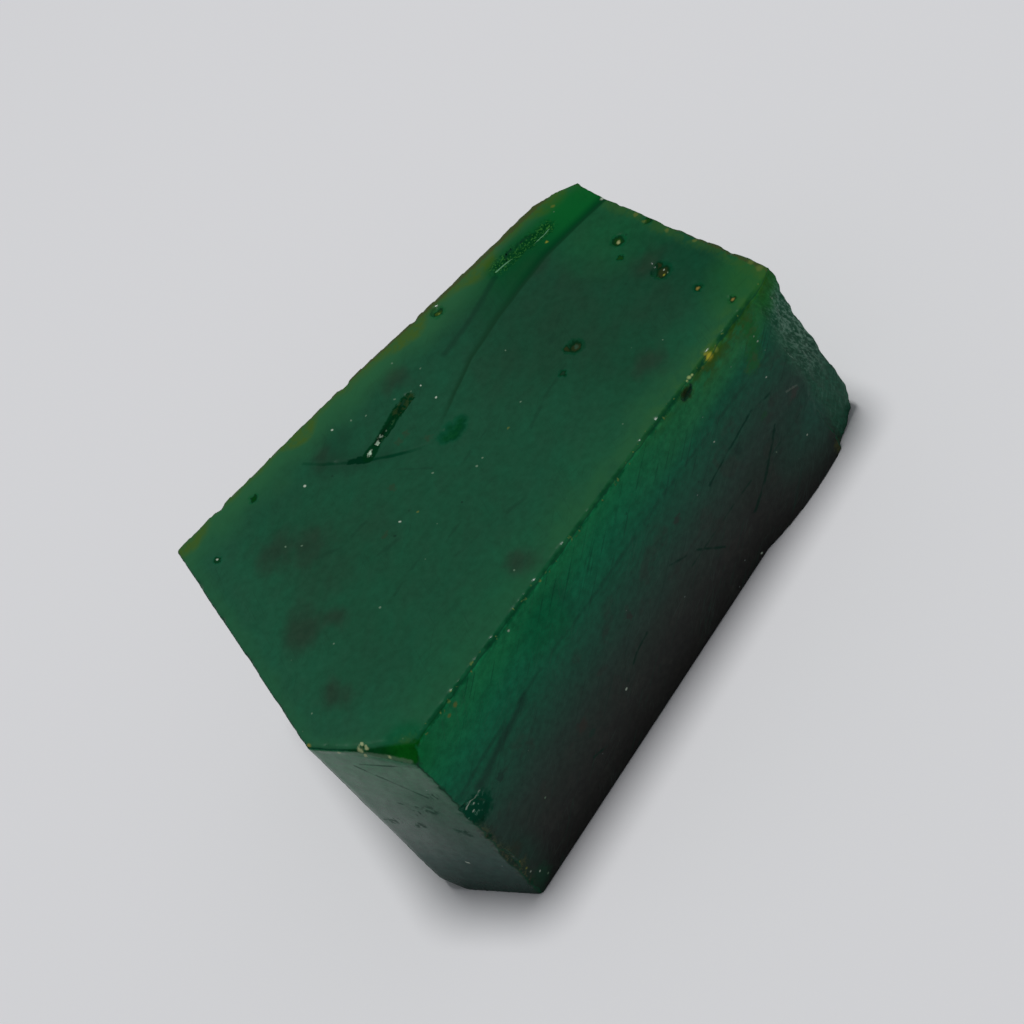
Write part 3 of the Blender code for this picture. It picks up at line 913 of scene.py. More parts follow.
TOP_CRUMBS = [
    (PALE_MARK_AND_GLINT, [
        (34.1, -9.6, 0.17), (-12.1, 14.8, 0.27), (-11.1, -1, 0.25), (-3.7, 17, 0.24), (6, 6.7, 0.2),
        (6.6, 9.9, 0.2), (-25.8, 18.7, 0.2), (40.4, 5.2, 0.4),
    ]),
    (DIM, [
        (33.1, -9.4, 0.2), (33.9, -10.5, 0.18), (-28.8, -4.5, 0.2), (3.5, 11.9, 0.22), (5.4, 10.6, 0.2),
        (-0.1, 14, 0.18), (-1.5, 15.5, 0.18), (1, -5.2, 0.18), (-0.3, -5.3, 0.2), (-3.5, -0.4, 0.18),
        (9.9, -4.6, 0.2), (-19.4, 9.1, 0.2), (-20.4, 11.1, 0.18), (8.7, 11.7, 0.2), (-22.1, -6.8, 0.2),
        (-37.7, -8.4, 0.18), (-10.6, -19.7, 0.2), (24.9, -16.5, 0.2), (15.5, 2.4, 0.18), (7.9, 16.1, 0.2),
        (-0.8, 10.2, 0.18),
    ]),
    (MUSTARD, [
        (-8.9, -2.3, 0.2), (6, -5.6, 0.25), (39.9, -0.8, 0.5), (39.4, -2.6, 0.4), (39.3, -6.5, 0.45),
        (39.3, -11, 0.4), (39.2, -20.2, 0.6), (38.8, -21.8, 0.7), (-36.9, -24.4, 0.35), (-35.4, -24.6, 0.3),
    ]),
    (YELLOW, [(31.8, 8.2, 0.32), (33.5, -10.1, 0.26)]),
    (LINE_DARK, [(-13, -1.8, 0.3), (-5.4, -6.9, 0.2), (-9.4, 12.2, 0.3)]),
    ((0.34, 0.36, 0.16), [(35.5, -1.1, 0.42)]),
    ((0.26, 0.175, 0.045), [(33.3, -15.9, 0.4), (33.5, -21.3, 0.4)]),
    ((0.19, 0.17, 0.03), [(-41.5, -10.9, 0.5)]),
    ((0.09, 0.13, 0.02), [(37.2, 11.6, 0.4)]),
    ((0.03, 0.075, 0.045), [(19.8, -6, 0.45)]),
    ((0.14, 0.18, 0.04), [(17.1, 15.7, 0.3)]),
]
SCAR_HIGHLIGHT_LINE = [(25.4, 12.1), (28.2, 11.4), (30.8, 10.4), (32.2, 10.1), (33.8, 9.6)]

for x, y, radius, tone in TOP_PITS:
    gap = spot_gap(top_point(x, y)) + 0.7 * crumbs
    top.lay(0.8 * soft(gap, radius, 0.7 * radius), PIT_RIM)
    top.lay(0.9 * soft(gap, 0.7 * radius, 0.4 * radius), tone)
    dull = dull.most(soft(gap, 1.4 * radius, 1.05 * radius))
fleck_shake = 0.45 * (crumb - 0.5)
# The pale crumbs are partly pale specks and partly painted glints.
for tone, places in TOP_CRUMBS:
    top.lay(0.9 * spots(top_point, places, fleck_shake), tone)
# Painted highlight along the lower lip of the scar's groove.
scar_lip_highlight = soft(stroke_gap(top_point, SCAR_HIGHLIGHT_LINE, level=True) + 0.3 * fleck_shake, 0.17, 0.05)
top.lay(0.6 * scar_lip_highlight, LIP_HIGHLIGHT)
print("pits:", len(TOP_PITS), " crumbs:", sum(len(places) for tone, places in TOP_CRUMBS))

# %% [markdown]
# ## Dust
# White specks are dust and bruised points, so they are small and rare. A Voronoi texture gives one point to
# each cell, and a second random number keeps only a few of them.

# %% Specks of dust
def specks(cell, radius, share, seed):
    """Small specks: one in each cell of a net, of which only a share is kept."""
    net = {"Vector": cells(cell, seed), "Scale": 1.0}
    kind = {"voronoi_dimensions": "3D", "feature": "F1"}
    gap = node("ShaderNodeTexVoronoi", kind, net, "Distance")
    tint = node("ShaderNodeTexVoronoi", kind, net, "Color")
    lot = node("ShaderNodeSeparateColor", {}, {"Color": tint}, "Red")
    return soft(gap, radius / cell, 0.4 * radius / cell) * soft(lot, share + 0.01, share)


dust = specks(2.4, 0.15, 0.2, 1)
top.lay(0.5 * dust, DIM)
dark_dots = specks(3.3, 0.26, 0.16, 2)
top.lay(0.45 * dark_dots, LINE_DARK)
print("nodes so far:", len(TREE.nodes))

# %% [markdown]
# ## The front
# The front looks away from the light, and less light gets through the stone lower down, so its colour carries
# painted light: a painted glow makes the upper strip a clear green, and painted shade makes the middle
# grey-teal and the foot nearly black. Noise bends the bands, and a painted glow keeps both ends greener low
# down, where light enters from the side.

# %% Paint glow and shade on the front by its height
FRONT_TOP = 36
FRONT_GLOW_AND_SHADE = [
    (2, (0.0118, 0.012, 0.0105)), (7, (0.015, 0.0175, 0.015)), (12, (0.016, 0.031, 0.023)),
    (15, (0.016, 0.0445, 0.0315)), (21, (0.007, 0.0725, 0.041)), (26, (0.0035, 0.11, 0.054)),
    (30, (0.006, 0.16, 0.072)), (35, (0.0105, 0.184, 0.067)),
]
WARM_STRIP_GLOW = (0.026, 0.185, 0.058)
PURE_STRIP_GLOW = (0.001, 0.13, 0.048)
RIGHT_FOOT_GLOW = (0.009, 0.078, 0.049)
LEFT_FOOT_GLOW = (0.005, 0.04, 0.024)
REDDISH_GREY = (0.023, 0.026, 0.021)

bend = 3.2 * (grain((9, 9, 5), detail=3, seed=6) - 0.5) + 1.2 * (small_cloud - 0.5)
# Painted glow above and painted shade below, by height.
shade_height = (height + bend) * (1 / FRONT_TOP)
front = ramp(shade_height, [(level / FRONT_TOP, tone) for level, tone in FRONT_GLOW_AND_SHADE])
upper = soft(height, 26, 30)
front.lay(upper * soft(along + 6 * uneven, -2, 30, 0, 0.8), WARM_STRIP_GLOW)
pure_glow_patch = soft(spot_gap(front_point(-13.5, 31)) + 1.2 * wobble, 6.5, 1.5)
front.lay(0.75 * pure_glow_patch, PURE_STRIP_GLOW)
# Painted glow at both ends low down.
low_down = soft(height, 18, 9) * soft(height, -0.5, 10)
front.lay(low_down * soft(along + 6 * uneven, 19, 36), RIGHT_FOOT_GLOW)
left_light = low_down * soft(end_depth + 3 * uneven, 5.5, 1.5)
front.lay(0.8 * left_light, LEFT_FOOT_GLOW)
blotches = soft(grain(3.4, detail=3, seed=51), 0.55, 0.68) * soft(height, 26, 20)
front.lay(0.4 * blotches, REDDISH_GREY)
front_mottle = ramp(mottle, [(0.3, (0.78, 0.78, 0.78)), (0.5, WHITE), (0.7, (1.3, 1.22, 1.22))])
front.tint(front_mottle)
print("front shades:", len(FRONT_GLOW_AND_SHADE))

# %% [markdown]
# ## The splintered band of the front
# Beside the broken end the front is splintered instead of sawn: fine pale streaks, partly bruised stone and
# partly painted highlights on the splinters, stand upright over a greener ground. Low down they are fewer
# and lie aslant, and towards the sawn part they die out slowly.

# %% Colour the splintered band
BAND_GREEN = (0.008, 0.098, 0.044)
BAND_BRUISE_AND_HIGHLIGHT = (0.15, 0.29, 0.21)
BAND_LOW = (0.009, 0.082, 0.043)
BAND_TOP = (0.015, 0.15, 0.026)
BAND_SLANT = (0.045, 0.15, 0.095)

chatter = grain((0.32, 0.5, 1.1), detail=4, seed=7, roughness=0.65, turn=(0, -14, 0))
slanting = grain((1.8, 0.9, 0.45), detail=3, seed=53, turn=(0, -42, 0))
band_line = soft(height, 11, 30, 34.2, 33.4) + soft(height, 29, 34, 0, 1.2) + 2.6 * uneven
in_band = soft(along - band_line + 1.2 * (chatter - 0.5), -1.0, 1.5)
# Pale streaks: partly bruised stone, partly painted highlights on the splinters.
bruised_and_highlit = soft(chatter, 0.44, 0.64) * soft(height, 10, 18) * soft(height, 31, 26, 0.05, 1)
bruised_and_highlit = bruised_and_highlit * soft(along + 2 * uneven, 34, 37.5, 0.12, 1)
chatter_shade = ramp(chatter, [(0.3, (0.6, 0.66, 0.6)), (0.5, WHITE), (0.68, (1.5, 1.4, 1.45))])
band = mix(soft(height, 21, 14), BAND_GREEN, BAND_LOW)
band_top = soft(height + 4 * uneven, 27, 31.5)
band.lay(band_top, BAND_TOP)
aslant = soft(slanting, 0.5, 0.7) * soft(height, 20, 12)
band.lay(0.5 * aslant, BAND_SLANT)
band.tint(chatter_shade)
band.lay(bruised_and_highlit, BAND_BRUISE_AND_HIGHLIGHT)
front.lay(0.85 * in_band, band)
print("nodes so far:", len(TREE.nodes))

# %% [markdown]
# ## Lines and marks on the front
# Long slanting scratches, a few knots of inclusions, the broken corner at the end with painted glints, and
# the amber crust under the top edge. A smudge is a broad soft stroke, and each has its own width and
# strength.

# %% Lines on the front
FRONT_SCRATCHES = [
    ([(4, 16.4), (8.2, 13.4), (11.6, 8.6)], 0.26),
    ([(6.4, 12.3), (20, 12)], 0.2),
    ([(17.2, 7.2), (21.5, 9.8), (27.2, 14.2)], 0.34),
    ([(-10, 10.1), (-6.8, 12), (-4, 12.5)], 0.3),
    ([(-20, 7.2), (-17.6, 6.1)], 0.26),
    ([(15, 18.8), (19, 19.4), (25.5, 20.2), (29, 19)], 0.3),
    ([(-37, 12.2), (-33.4, 10.4)], 0.22),
    ([(22, 11.6), (34, 11.4)], 0.2),
]
STRIP_CREASE = [
    (-35.5, 26.1), (-31, 26.7), (-24, 27), (-14, 26.8), (-7, 26.2), (8, 25.8), (20, 25.1), (33, 23.8),
]
SMUDGES = [
    ([(-33, 24), (-30.5, 24.7), (-26, 25.7), (-22, 26.4)], 1.2, 0.6),
    ([(-9.6, 28.5), (-9.4, 33.5)], 1.6, 0.3),
]
FRONT_DARK = (0.003, 0.03, 0.019)
FRONT_PALE = (0.05, 0.11, 0.085)
FRONT_HAIRS = [(-36, 41), (-62, 42), (-12, 43)]

front_hairs = hair_patches * strongest(hairs((0, lean, 0), seed) for lean, seed in FRONT_HAIRS)
front.lay(0.16 * front_hairs, FRONT_PALE)
dark_hairs = breaks * hairs((0, -36, 0), 44, width=0.3, length=9)
front.lay(0.4 * dark_hairs, FRONT_DARK)
scored = breaks * strokes(front_point, FRONT_SCRATCHES)
front.lay(0.6 * scored, FRONT_DARK)
front.lay(0.35 * breaks * stroke(front_point, STRIP_CREASE, 0.55), FRONT_DARK)
for places, width, strength in SMUDGES:
    smudge = soft(stroke_gap(front_point, places) + 0.3 * wobble, width, 0.1)
    front.lay(strength * smudge, FRONT_DARK)
print("scratches on the front:", len(FRONT_SCRATCHES))

# %% Knots, the broken corner and crumbs on the front
FRONT_KNOTS = [
    (-18.5, 13, 1.4, (0.03, 0.024, 0.018)), (-18, 10.5, 0.9, FRONT_DARK), (21, 18, 1.1, FRONT_DARK),
    (26.8, 17.3, 0.8, (0.004, 0.06, 0.02)), (32.1, 14.7, 1.2, (0.036, 0.036, 0.03)),
    (33, 0.9, 1.5, (0.05, 0.06, 0.015)), (-30.5, 21.5, 1, FRONT_DARK),
    (-35.9, 10.6, 1.9, (0.016, 0.022, 0.01)), (-35.6, 2.6, 2.6, (0.005, 0.05, 0.024)),
    (-36, 7.6, 1, (0.05, 0.06, 0.022)), (8.5, 20.5, 0.9, REDDISH_GREY), (-4.5, 17.5, 0.8, REDDISH_GREY),
]
BROKEN_CORNER = (0.004, 0.062, 0.031)
CORNER_GLINT = (0.09, 0.22, 0.15)
AMBER = (0.042, 0.1, 0.013)
AMBER_GREEN = (0.012, 0.13, 0.015)
AMBER_STREAK = [(32.4, 33), (31.8, 28.5), (29.5, 25.5)]
FRONT_CRUMBS = [
    (PALE_MARK_AND_GLINT, [
        (-36.1, 5, 0.24), (-35.2, 3.4, 0.2), (18.9, 23.1, 0.24), (30, 21.5, 0.2), (30, 8, 0.24),
        (31.8, 27.2, 0.2), (36.9, 29.4, 0.22), (-10.9, 9.5, 0.24), (31.8, 28.4, 0.24), (-35.2, 22.4, 0.26),
        (-35.8, 21.6, 0.22), (-17.4, 36, 0.25), (15.3, 0.9, 0.25),
    ]),
    (DIM, [(-34.6, 1.6, 0.2), (-28.2, 11.2, 0.2), (25.1, 11.1, 0.2)]),
    (YELLOW, [(-36.3, 8.2, 0.35), (-36.2, 6.2, 0.3)]),
    ((0.13, 0.165, 0.04), [(-28.5, 36.6, 0.5), (-29.9, 36.4, 0.4)]),
    ((0.3, 0.4, 0.16), [(11.5, 34.8, 0.3)]),
]
PALE_STREAKS = [([(-36.2, 23.2), (-33.7, 23.6)], 0.7), ([(31.3, 16.1), (33, 15.1)], 0.12)]
GREY_DUST = (0.20, 0.26, 0.24)

for x, z, radius, tone in FRONT_KNOTS:
    knot = soft(spot_gap(front_point(x, z)) + 1.4 * crumbs, radius, 0.3 * radius)
    front.lay(0.7 * knot, tone)
# The broken corner is dark teal with painted glints.
corner_place = soft(spot_gap(front_point(-35.4, 21.8)) + 2 * crumbs, 3.1, 1.9)
front.lay(0.85 * corner_place, mix(soft(crumb, 0.6, 0.7), BROKEN_CORNER, CORNER_GLINT))
amber_place = soft(along, 19, 25) * soft(along, 33.5, 31) * soft(height, 29, 32.5)
amber_grain = soft(grain(1.5, detail=3, seed=10), 0.44, 0.6)
front.lay(0.75 * amber_place * amber_grain, AMBER)
amber_streak = soft(stroke_gap(front_point, AMBER_STREAK) + 2 * crumbs, 2.2, 0.2)
front.lay(0.6 * amber_streak, mix(amber_grain, AMBER_GREEN, AMBER))
# The pale crumbs are partly pale specks and partly painted glints.
for tone, places in FRONT_CRUMBS:
    front.lay(0.85 * spots(front_point, places, fleck_shake), tone)
for places, strength in PALE_STREAKS:
    streak = soft(stroke_gap(front_point, places) + 0.5 * crumbs, 0.24, 0.06)
    front.lay(strength * streak, PALE_MARK_AND_GLINT)
front.lay(0.5 * dust, GREY_DUST)
front.lay(0.5 * dark_dots, FRONT_DARK)
print("knots:", len(FRONT_KNOTS), " crumbs:", sum(len(places) for tone, places in FRONT_CRUMBS))

# %% [markdown]
# ## The edge between the top and the front
# The long edge was never rounded: a thin dark line with yellow crumbs and painted white glints along it. The
# line lies on both faces, so each layer is laid on both colours.

# %% Draw the long edge on both faces
EDGE_DARK = (0.002, 0.042, 0.014)
EDGE_CRUMB = (0.14, 0.2, 0.05)
EDGE_OLIVE = (0.034, 0.115, 0.019)
EDGE_YELLOW = (0.05, 0.15, 0.012)
EDGE_GLINT = (0.3, 0.39, 0.15)
OLIVE_EDGE = [(37.5, 33.2), (33, 33.6), (26, 33.2)]
# The spots in EDGE_GLINT are painted glints.
EDGE_SPOTS = [
    (19.8, 32.6, 1.3, (0.02, 0.026, 0.006)), (25.6, 33, 1.9, (0.05, 0.12, 0.012)),
    (25.3, 33.2, 0.85, (0.36, 0.32, 0.03)), (26.5, 32.9, 0.5, (0.16, 0.24, 0.04)),
    (23.6, 33.2, 0.35, MUSTARD), (22, 33.8, 0.26, EDGE_GLINT), (21.5, 33.9, 0.36, EDGE_GLINT),
    (21, 33.9, 0.26, EDGE_GLINT),
]

edge_gap = top_depth.most(front_depth) + 0.5 * (crumb - 0.5)
edge_halo = soft(edge_gap + 2.2 * uneven, 2.8, 0.3) * soft(along + 6 * uneven, 8, 20)
edge_halo = edge_halo * soft(grain(1.8, detail=3, seed=19), 0.36, 0.6)
top.lay(0.45 * edge_halo, EDGE_OLIVE)
front.lay(0.6 * edge_halo, EDGE_OLIVE)
olive_edge = soft(stroke_gap(front_point, OLIVE_EDGE) + 2 * crumbs, 1.5, 0.2)
front.lay(0.6 * olive_edge, EDGE_YELLOW)
edge_line = soft(edge_gap, 0.75, 0.3) * (0.1 + 0.9 * soft(grain(2.6, seed=20), 0.42, 0.56))
edge_crumbs = soft(edge_gap, 1.0, 0.5) * soft(grain(0.8, seed=17), 0.62, 0.7)
edge_colour = mix(edge_crumbs, EDGE_DARK, EDGE_CRUMB)
edge_share = (0.7 * edge_line).most(0.85 * edge_crumbs)
edge_layers = [(edge_share, edge_colour)]
for x, z, radius, tone in EDGE_SPOTS:
    edge_layers.append((0.9 * spot(front_point(x, z), radius, 0.5 * radius * crumbs), tone))
for face in (top, front):
    for share, tone in edge_layers:
        face.lay(share, tone)
print("spots on the edge:", len(EDGE_SPOTS))

# %% [markdown]
# ## The other sides
# The sawn end carries painted glow and shade like the front: clear green above and dark at its foot, with
# scratches, dark knots and a painted glint. The left side was sawn too, and the corner facet between the end
# and the top gets a painted glow, with painted sparkles along the end's top edge. The broken end has pale
# splinters, partly bruised stone and partly painted highlights, and the back an ochre and olive skin over
# the green.

# %% Colour the end
END_GLOW_AND_SHADE = [
    (2, (0.01, 0.036, 0.027)), (9, (0.011, 0.055, 0.041)), (16, (0.011, 0.067, 0.04)),
    (25, (0.01, 0.097, 0.046)), (35, (0.012, 0.14, 0.056)),
]
END_START = -8.5
END_SCRATCHES = [
    ([(0.5, 35.2), (8.5, 35.4)], 0.24), ([(9.5, 35), (3.4, 27)], 0.28), ([(12.8, 20.1), (11.2, 20.1)], 0.24),
    ([(3.7, 18.2), (2.4, 16.8)], 0.5), ([(5.2, 23.4), (4.6, 22.6)], 0.4), ([(6.4, 24.2), (6, 23.6)], 0.35),
    ([(8.5, 25.1), (8, 24.7)], 0.3),
]
END_KNOTS = [
    (2.3, 27.5, 1.2), (4.7, 23.5, 1.7), (7, 22.5, 1.2), (3, 18, 1.3), (2.5, 16.7, 0.9), (8.3, 19, 1.2),
    (11.5, 20, 1.4),
]
WHITE_GLINT_LINE = [(6.5, 8.4), (6.9, 8.7)]
END_DARK = (0.002, 0.035, 0.02)
RIM_CRUST = (0.07, 0.08, 0.028)
RIM_OLD = (0.008, 0.03, 0.016)

end_normal, end_distance = PLANES["end"]
end_level = np.array([end_normal[1], -end_normal[0]]) / math.hypot(end_normal[0], end_normal[1])


def end_point(u, z):
    """The point of the end face at u millimetres from the near upright edge, and a height."""
    sides = np.array([end_normal[:2], end_level])
    x, y = np.linalg.solve(sides, [end_distance - end_normal[2] * z, u + END_START])
    return on_solid(np.array([x, y, z]), tuple(-end_normal))


from_edge = place.dot((end_level[0], end_level[1], 0)) - END_START
# Painted glow above and painted shade at the foot, by height.
sawn_end = ramp(shade_height, [(level / FRONT_TOP, tone) for level, tone in END_GLOW_AND_SHADE])
sawn_end.tint(front_mottle)
end_lines = strokes(end_point, END_SCRATCHES)
end_knots = spots(end_point, END_KNOTS, crumbs)
dashes = soft(grain((0.5, 0.5, 1.1), detail=3, seed=52, turn=(0, 0, -22)), 0.46, 0.56)
end_marks = (0.7 * breaks * end_lines).most(0.8 * end_knots * dashes)
sawn_end.lay(0.8 * end_marks, END_DARK)
# A painted glint.
white_glint = soft(stroke_gap(end_point, WHITE_GLINT_LINE) + fleck_shake, 0.22, 0.1)
sawn_end.lay(0.8 * white_glint, PALE_MARK_AND_GLINT)
rim_colour = mix(soft(crumb, 0.45, 0.65), RIM_OLD, RIM_CRUST)
rim_colour.lay(soft(height, 6, 2), RIM_OLD)
corner_wear = soft(height, 21, 18)
end_rim = soft(from_edge + 2.4 * crumbs + 1.2 * uneven, 1.0, 0.4) * corner_wear
sawn_end.lay(0.7 * end_rim, rim_colour)
front_edge_rim = soft(end_depth + 2.4 * crumbs + 1.6 * uneven, 1.3, 0.5) * corner_wear
front.lay(0.7 * front_edge_rim, rim_colour)
print("marks on the end:", len(END_SCRATCHES) + len(END_KNOTS))

# %% Colour the left side, the broken end and the back
LEFT_GREEN = (0.007, 0.056, 0.027)
BROKEN_GREEN = (0.012, 0.09, 0.045)
BRUISE_AND_HIGHLIGHT = (0.1, 0.2, 0.14)
SKIN_OCHRE = (0.062, 0.058, 0.02)
SKIN_OLIVE = (0.024, 0.048, 0.014)
SKIN_GREEN = (0.009, 0.045, 0.02)
FACET_GREEN = (0.002, 0.044, 0.011)
FACET_GLOW = (0.0025, 0.08, 0.007)
FACET_LIT = (0.026, 0.1, 0.026)
FACET_FRONT_GLOW = (0.003, 0.15, 0.038)
END_SPARKLE = (0.3, 0.36, 0.18)
END_SPARKLES = [
    (-38.9, -17.2, 38.6, 0.55), (-38.3, -17.8, 38.7, 0.4), (-39, -17.6, 37.7, 0.35),
    (-38.2, -17.1, 38.9, 0.3), (-37.7, -20.3, 37.2, 0.25), (-40.2, -14.6, 38.3, 0.25),
]
END_EDGE = [(-41.2, -12.1, 38.3), (-39.1, -17.1, 38.1), (-37.7, -20.3, 37.1), (-36.9, -22.4, 36.2)]
END_EDGE_PALE = (0.15, 0.24, 0.16)


def in_space(x, y, z):
    """A place given by all three lengths, for marks that run along an edge."""
    return x, y, z


on_end = facing("end", 0.9, 0.97)
on_back = facing("back", 0.55, 0.8) * soft(back_depth, 6, 3)
on_far = facing("far", 0.5, 0.8) * soft(along, 31, 34)
side = mix(soft(cloud, 0.35, 0.65), LEFT_GREEN, DEEP_GREEN)
side.tint(front_mottle)
side.lay(on_end, sawn_end)
# Painted glow: the corner facet lightens towards the front corner, FACET_LIT paints light on the top beside
# it, and FACET_FRONT_GLOW paints glow on the front beside it.
facet_gap = spot_gap(front_point(-36, 37.5))
facet = soft(facet_gap + uneven, 9, 7) * soft(way.dot((0, 0, 1)), 0.25, 0.45)
facet_colour = mix(soft(facet_gap + 2 * uneven, 5, 0.8), FACET_GREEN, FACET_GLOW)
facet_colour.tint(front_mottle)
side.lay(facet, facet_colour)
# The gouge's walls get the same painted shade and glints.
side.lay(0.95 * gouge, gouge_colour)
top.lay(0.8 * soft(facet_gap + 2 * crumbs, 2.4, 0.6), FACET_LIT)
front.lay(0.7 * soft(facet_gap + 2 * uneven, 4.5, 0.8), FACET_FRONT_GLOW)
# Painted sparkles of light near the end's top corner, with a pale line along its top edge.
end_edge = soft(stroke_gap(in_space, END_EDGE) + 0.3 * crumbs, 0.5, 0.1)
sparkles = spots(in_space, END_SPARKLES, 0.7 * crumbs)
for share, tone in ((0.42 * end_edge, END_EDGE_PALE), (0.9 * sparkles, END_SPARKLE)):
    side.lay(share, tone)
    top.lay(share, tone)
near_facet = soft(facet_gap, 4.2, 2.6)
near_band = soft(front_depth, 5, 0.5) * soft(height, 10, 17) * soft(height, 31, 26)
bruise_patches = soft(cloud, 0.4, 0.58, 0.25, 1)
# Pale splinters: partly bruised stone, partly painted highlights.
broken_colour = mix(soft(chatter, 0.5, 0.72) * bruise_patches, BROKEN_GREEN, BRUISE_AND_HIGHLIGHT)
broken_colour.lay(0.75 * band_top, BAND_TOP)
broken_colour.lay(near_band * soft(chatter, 0.38, 0.58), BAND_BRUISE_AND_HIGHLIGHT)
side.lay(on_far, broken_colour)
skin = mix(soft(small_cloud, 0.35, 0.7), SKIN_OLIVE, SKIN_OCHRE)
skin.lay(soft(grain(8, detail=6, seed=8, roughness=0.6), 0.44, 0.62), SKIN_GREEN)
skin.tint(mottled)
side.lay(on_back, skin)
side.lay(0.5 * dust, GREY_DUST)
print("nodes so far:", len(TREE.nodes))

# %% [markdown]
# ## Gloss
# The end was rubbed almost smooth and shows a grey sheen, the top is duller, and the front is duller still.
# A thin coat does this: its weight changes over each face, and its roughness stays the same. Scratches, pits
# and the second saw pass break it. Each kind of face gets its own shader, laid over the last with a soft
# border, so that the worn edges blend the two sides.

# %% Set the gloss and the relief, and lay the faces over each other
TOP_COAT = 0.48
END_COAT = 0.34
SIDE_COAT = 0.12
COAT = {"Coat Roughness": 0.2, "Coat IOR": 1.6, "Specular IOR Level": 0.0}

fine = grain(0.35, seed=12, roughness=0.6)
relief = 0.5 * fine + 0.35 * mottle
bump = node("ShaderNodeBump", {}, {"Height": relief, "Strength": 0.09, "Distance": 0.4 * MM}, "Normal")
surface_roughness = soft(mottle, 0.3, 0.7, 0.42, 0.56)


def faced(colour, coat):
    """A shader for one kind of face, from its colour and the weight of its coat."""
    inputs = {"Base Color": colour, "Roughness": surface_roughness, "Coat Weight": coat, "Normal": bump}
    return node("ShaderNodeBsdfPrincipled", {}, {**inputs, **COAT})


def laid_over(share, under, over):
    """One shader laid over another."""
    return node("ShaderNodeMixShader", {}, {0: share, 1: under, 2: over})


worn = soft(top_depth.most(front_depth.least(end_depth)), 0.9, 0.4)
sharp_edge = soft(top_depth.most(front_depth), 0.8, 0.5)
top_coat = TOP_COAT * soft(along, 26, 38, 1.0, 0.55) * (1 - in_pass * pure) * (1 - dull)
top_coat = top_coat * (1 - sharp_edge) * (1 - 0.5 * edge_share) * (1 - near_facet)
front_coat = soft(height, 34, 21, 0.04, 0.16) * (1 - 0.7 * scored) * (1 - corner_place) * (1 - sharp_edge)
end_coat = END_COAT + 0.39 * soft(from_edge, 3.5, 12) * soft(height, 6, 20)
end_coat = end_coat + 0.17 * soft(height, 26, 31) * soft(from_edge, 9, 5)
end_coat = end_coat * soft(grain((1.2, 1.2, 2.5), detail=4, seed=21), 0.3, 0.7, 0.9, 1.1)
side_coat = SIDE_COAT + on_end * (end_coat - SIDE_COAT)
side_coat = side_coat * (1 - 0.75 * end_marks) * (1 - facet) * (1 - 0.7 * on_back)
side_shader = faced(side, side_coat * (1 - worn))
front_shader = faced(front, front_coat)
top_shader = faced(top, top_coat)
surface = laid_over(on_top, laid_over(on_front, side_shader, front_shader), top_shader)
fill(TREE.nodes["Material Output"].inputs["Surface"], surface)
block.data.materials.clear()
block.data.materials.append(green_stone)
print("nodes in the finish:", len(TREE.nodes))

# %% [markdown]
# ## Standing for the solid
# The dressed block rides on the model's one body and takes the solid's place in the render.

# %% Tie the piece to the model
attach(block, "root")
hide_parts("stone")
print(block.name, "rides on root and stands for", STONE.name)

# %% [markdown]
# ## The studio
# A plain pale floor, one soft lamp overhead, a little behind the block and to the broken end's side, and a
# grey surrounding. The lamp doesn't reach the front, so the front stays dark.

# %% Floor, lamp and surrounding
FLOOR_SIZE = 3.0
LAMP_PLACE = (0.045, 0.055, 1.0)
LAMP_SIZE = 0.24
LAMP_POWER = 6.2
PAPER_WHITE = (0.8, 0.8, 0.815, 1)
ROOM_GREY = (0.93, 0.95, 1.0, 1)
ROOM_LIGHT = 0.21

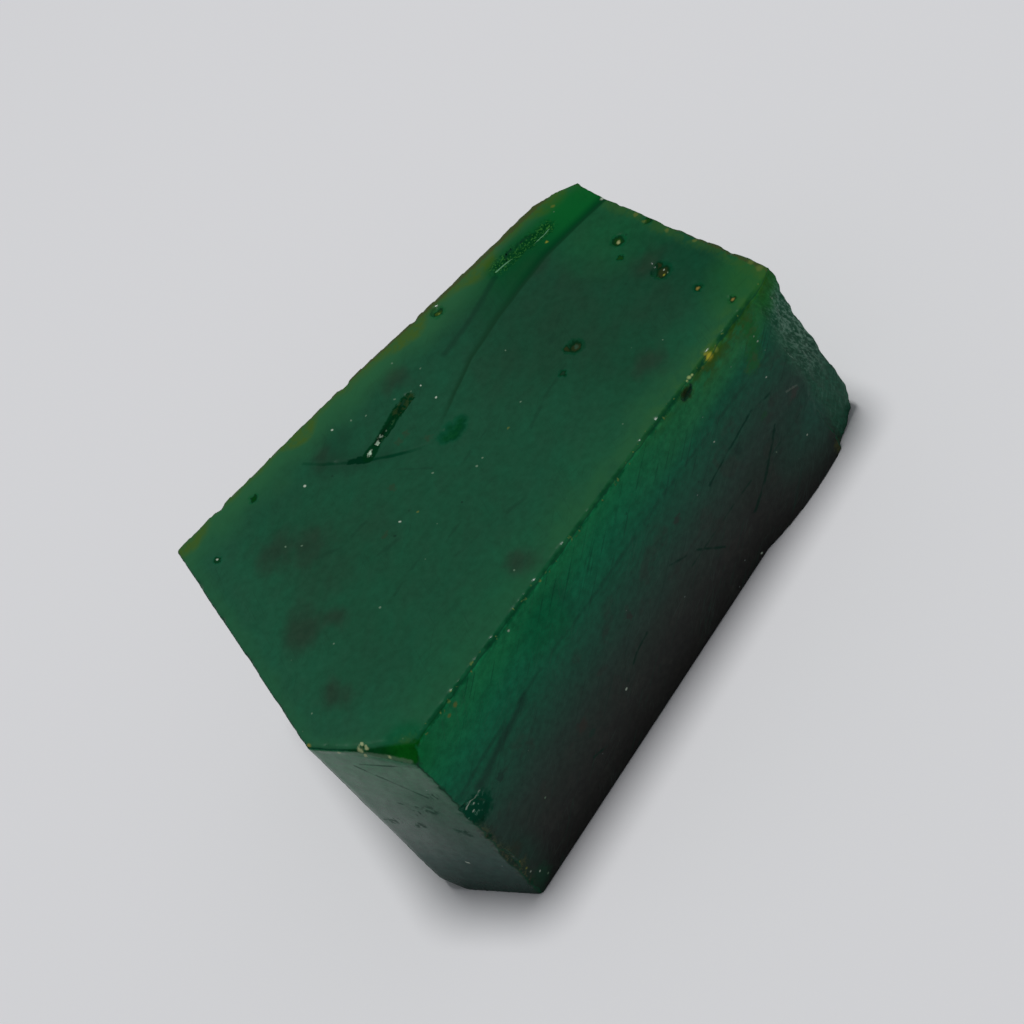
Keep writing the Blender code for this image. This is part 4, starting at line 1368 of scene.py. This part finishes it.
bpy.ops.mesh.primitive_plane_add(size=FLOOR_SIZE)
floor = bpy.context.object
floor.name = "floor"
paper = bpy.data.materials.new("pale_paper")
paper.use_nodes = True
paper_shader = paper.node_tree.nodes["Principled BSDF"]
paper_shader.inputs["Base Color"].default_value = PAPER_WHITE
paper_shader.inputs["Roughness"].default_value = 0.9
paper_shader.inputs["Specular IOR Level"].default_value = 0.1
floor.data.materials.append(paper)

lamp_data = bpy.data.lights.new("overhead_lamp", "AREA")
lamp_data.shape = "DISK"
lamp_data.size = LAMP_SIZE
lamp_data.energy = LAMP_POWER
lamp = bpy.data.objects.new("overhead_lamp", lamp_data)
bpy.context.scene.collection.objects.link(lamp)
lamp.location = LAMP_PLACE
lamp.rotation_euler = (-lamp.location).to_track_quat("-Z", "Y").to_euler()

world = bpy.data.worlds.new("grey_room")
world.use_nodes = True
background = world.node_tree.nodes["Background"]
background.inputs["Color"].default_value = ROOM_GREY
background.inputs["Strength"].default_value = ROOM_LIGHT
bpy.context.scene.world = world
bpy.context.scene.view_settings.view_transform = "Standard"
print("studio:", floor.name, "and", lamp.name)

# %% [markdown]
# ## The camera
# It stands in front of the block, to the left of its middle, and looks steeply down. It is rolled to one
# side, so that the block's long edge climbs across the view. It is placed by the point on the floor that it
# looks at, its angles and its distance.

# %% Place the camera
AIM = Vector((6.99, 14.28, 0)) * MM
CAMERA_DISTANCE = 452.25 * MM
CAMERA_AZIMUTH = -21.05
CAMERA_HEIGHT_ANGLE = 50
CAMERA_ROLL = 39.4
LENS = 117.8

turn, tilt = math.radians(CAMERA_AZIMUTH), math.radians(CAMERA_HEIGHT_ANGLE)
back_way = Vector((math.sin(turn) * math.cos(tilt), -math.cos(turn) * math.cos(tilt), math.sin(tilt)))
level = Vector((math.cos(turn), math.sin(turn), 0))
upward = back_way.cross(level)
stand = Matrix((level, upward, back_way)).transposed().to_4x4()
camera = bpy.data.objects.new("camera", bpy.data.cameras.new("camera"))
bpy.context.scene.collection.objects.link(camera)
camera.matrix_world = Matrix.Translation(AIM + back_way * CAMERA_DISTANCE) @ stand @ Matrix.Rotation(
    math.radians(-CAMERA_ROLL), 4, "Z"
)
camera.data.lens = LENS
camera.data.sensor_width = 36
bpy.context.scene.camera = camera
print("camera at", [round(value / MM, 1) for value in camera.matrix_world.translation], "mm")

# %% [markdown]
# ## Sizes
# The dressed block must be no larger than the solid.
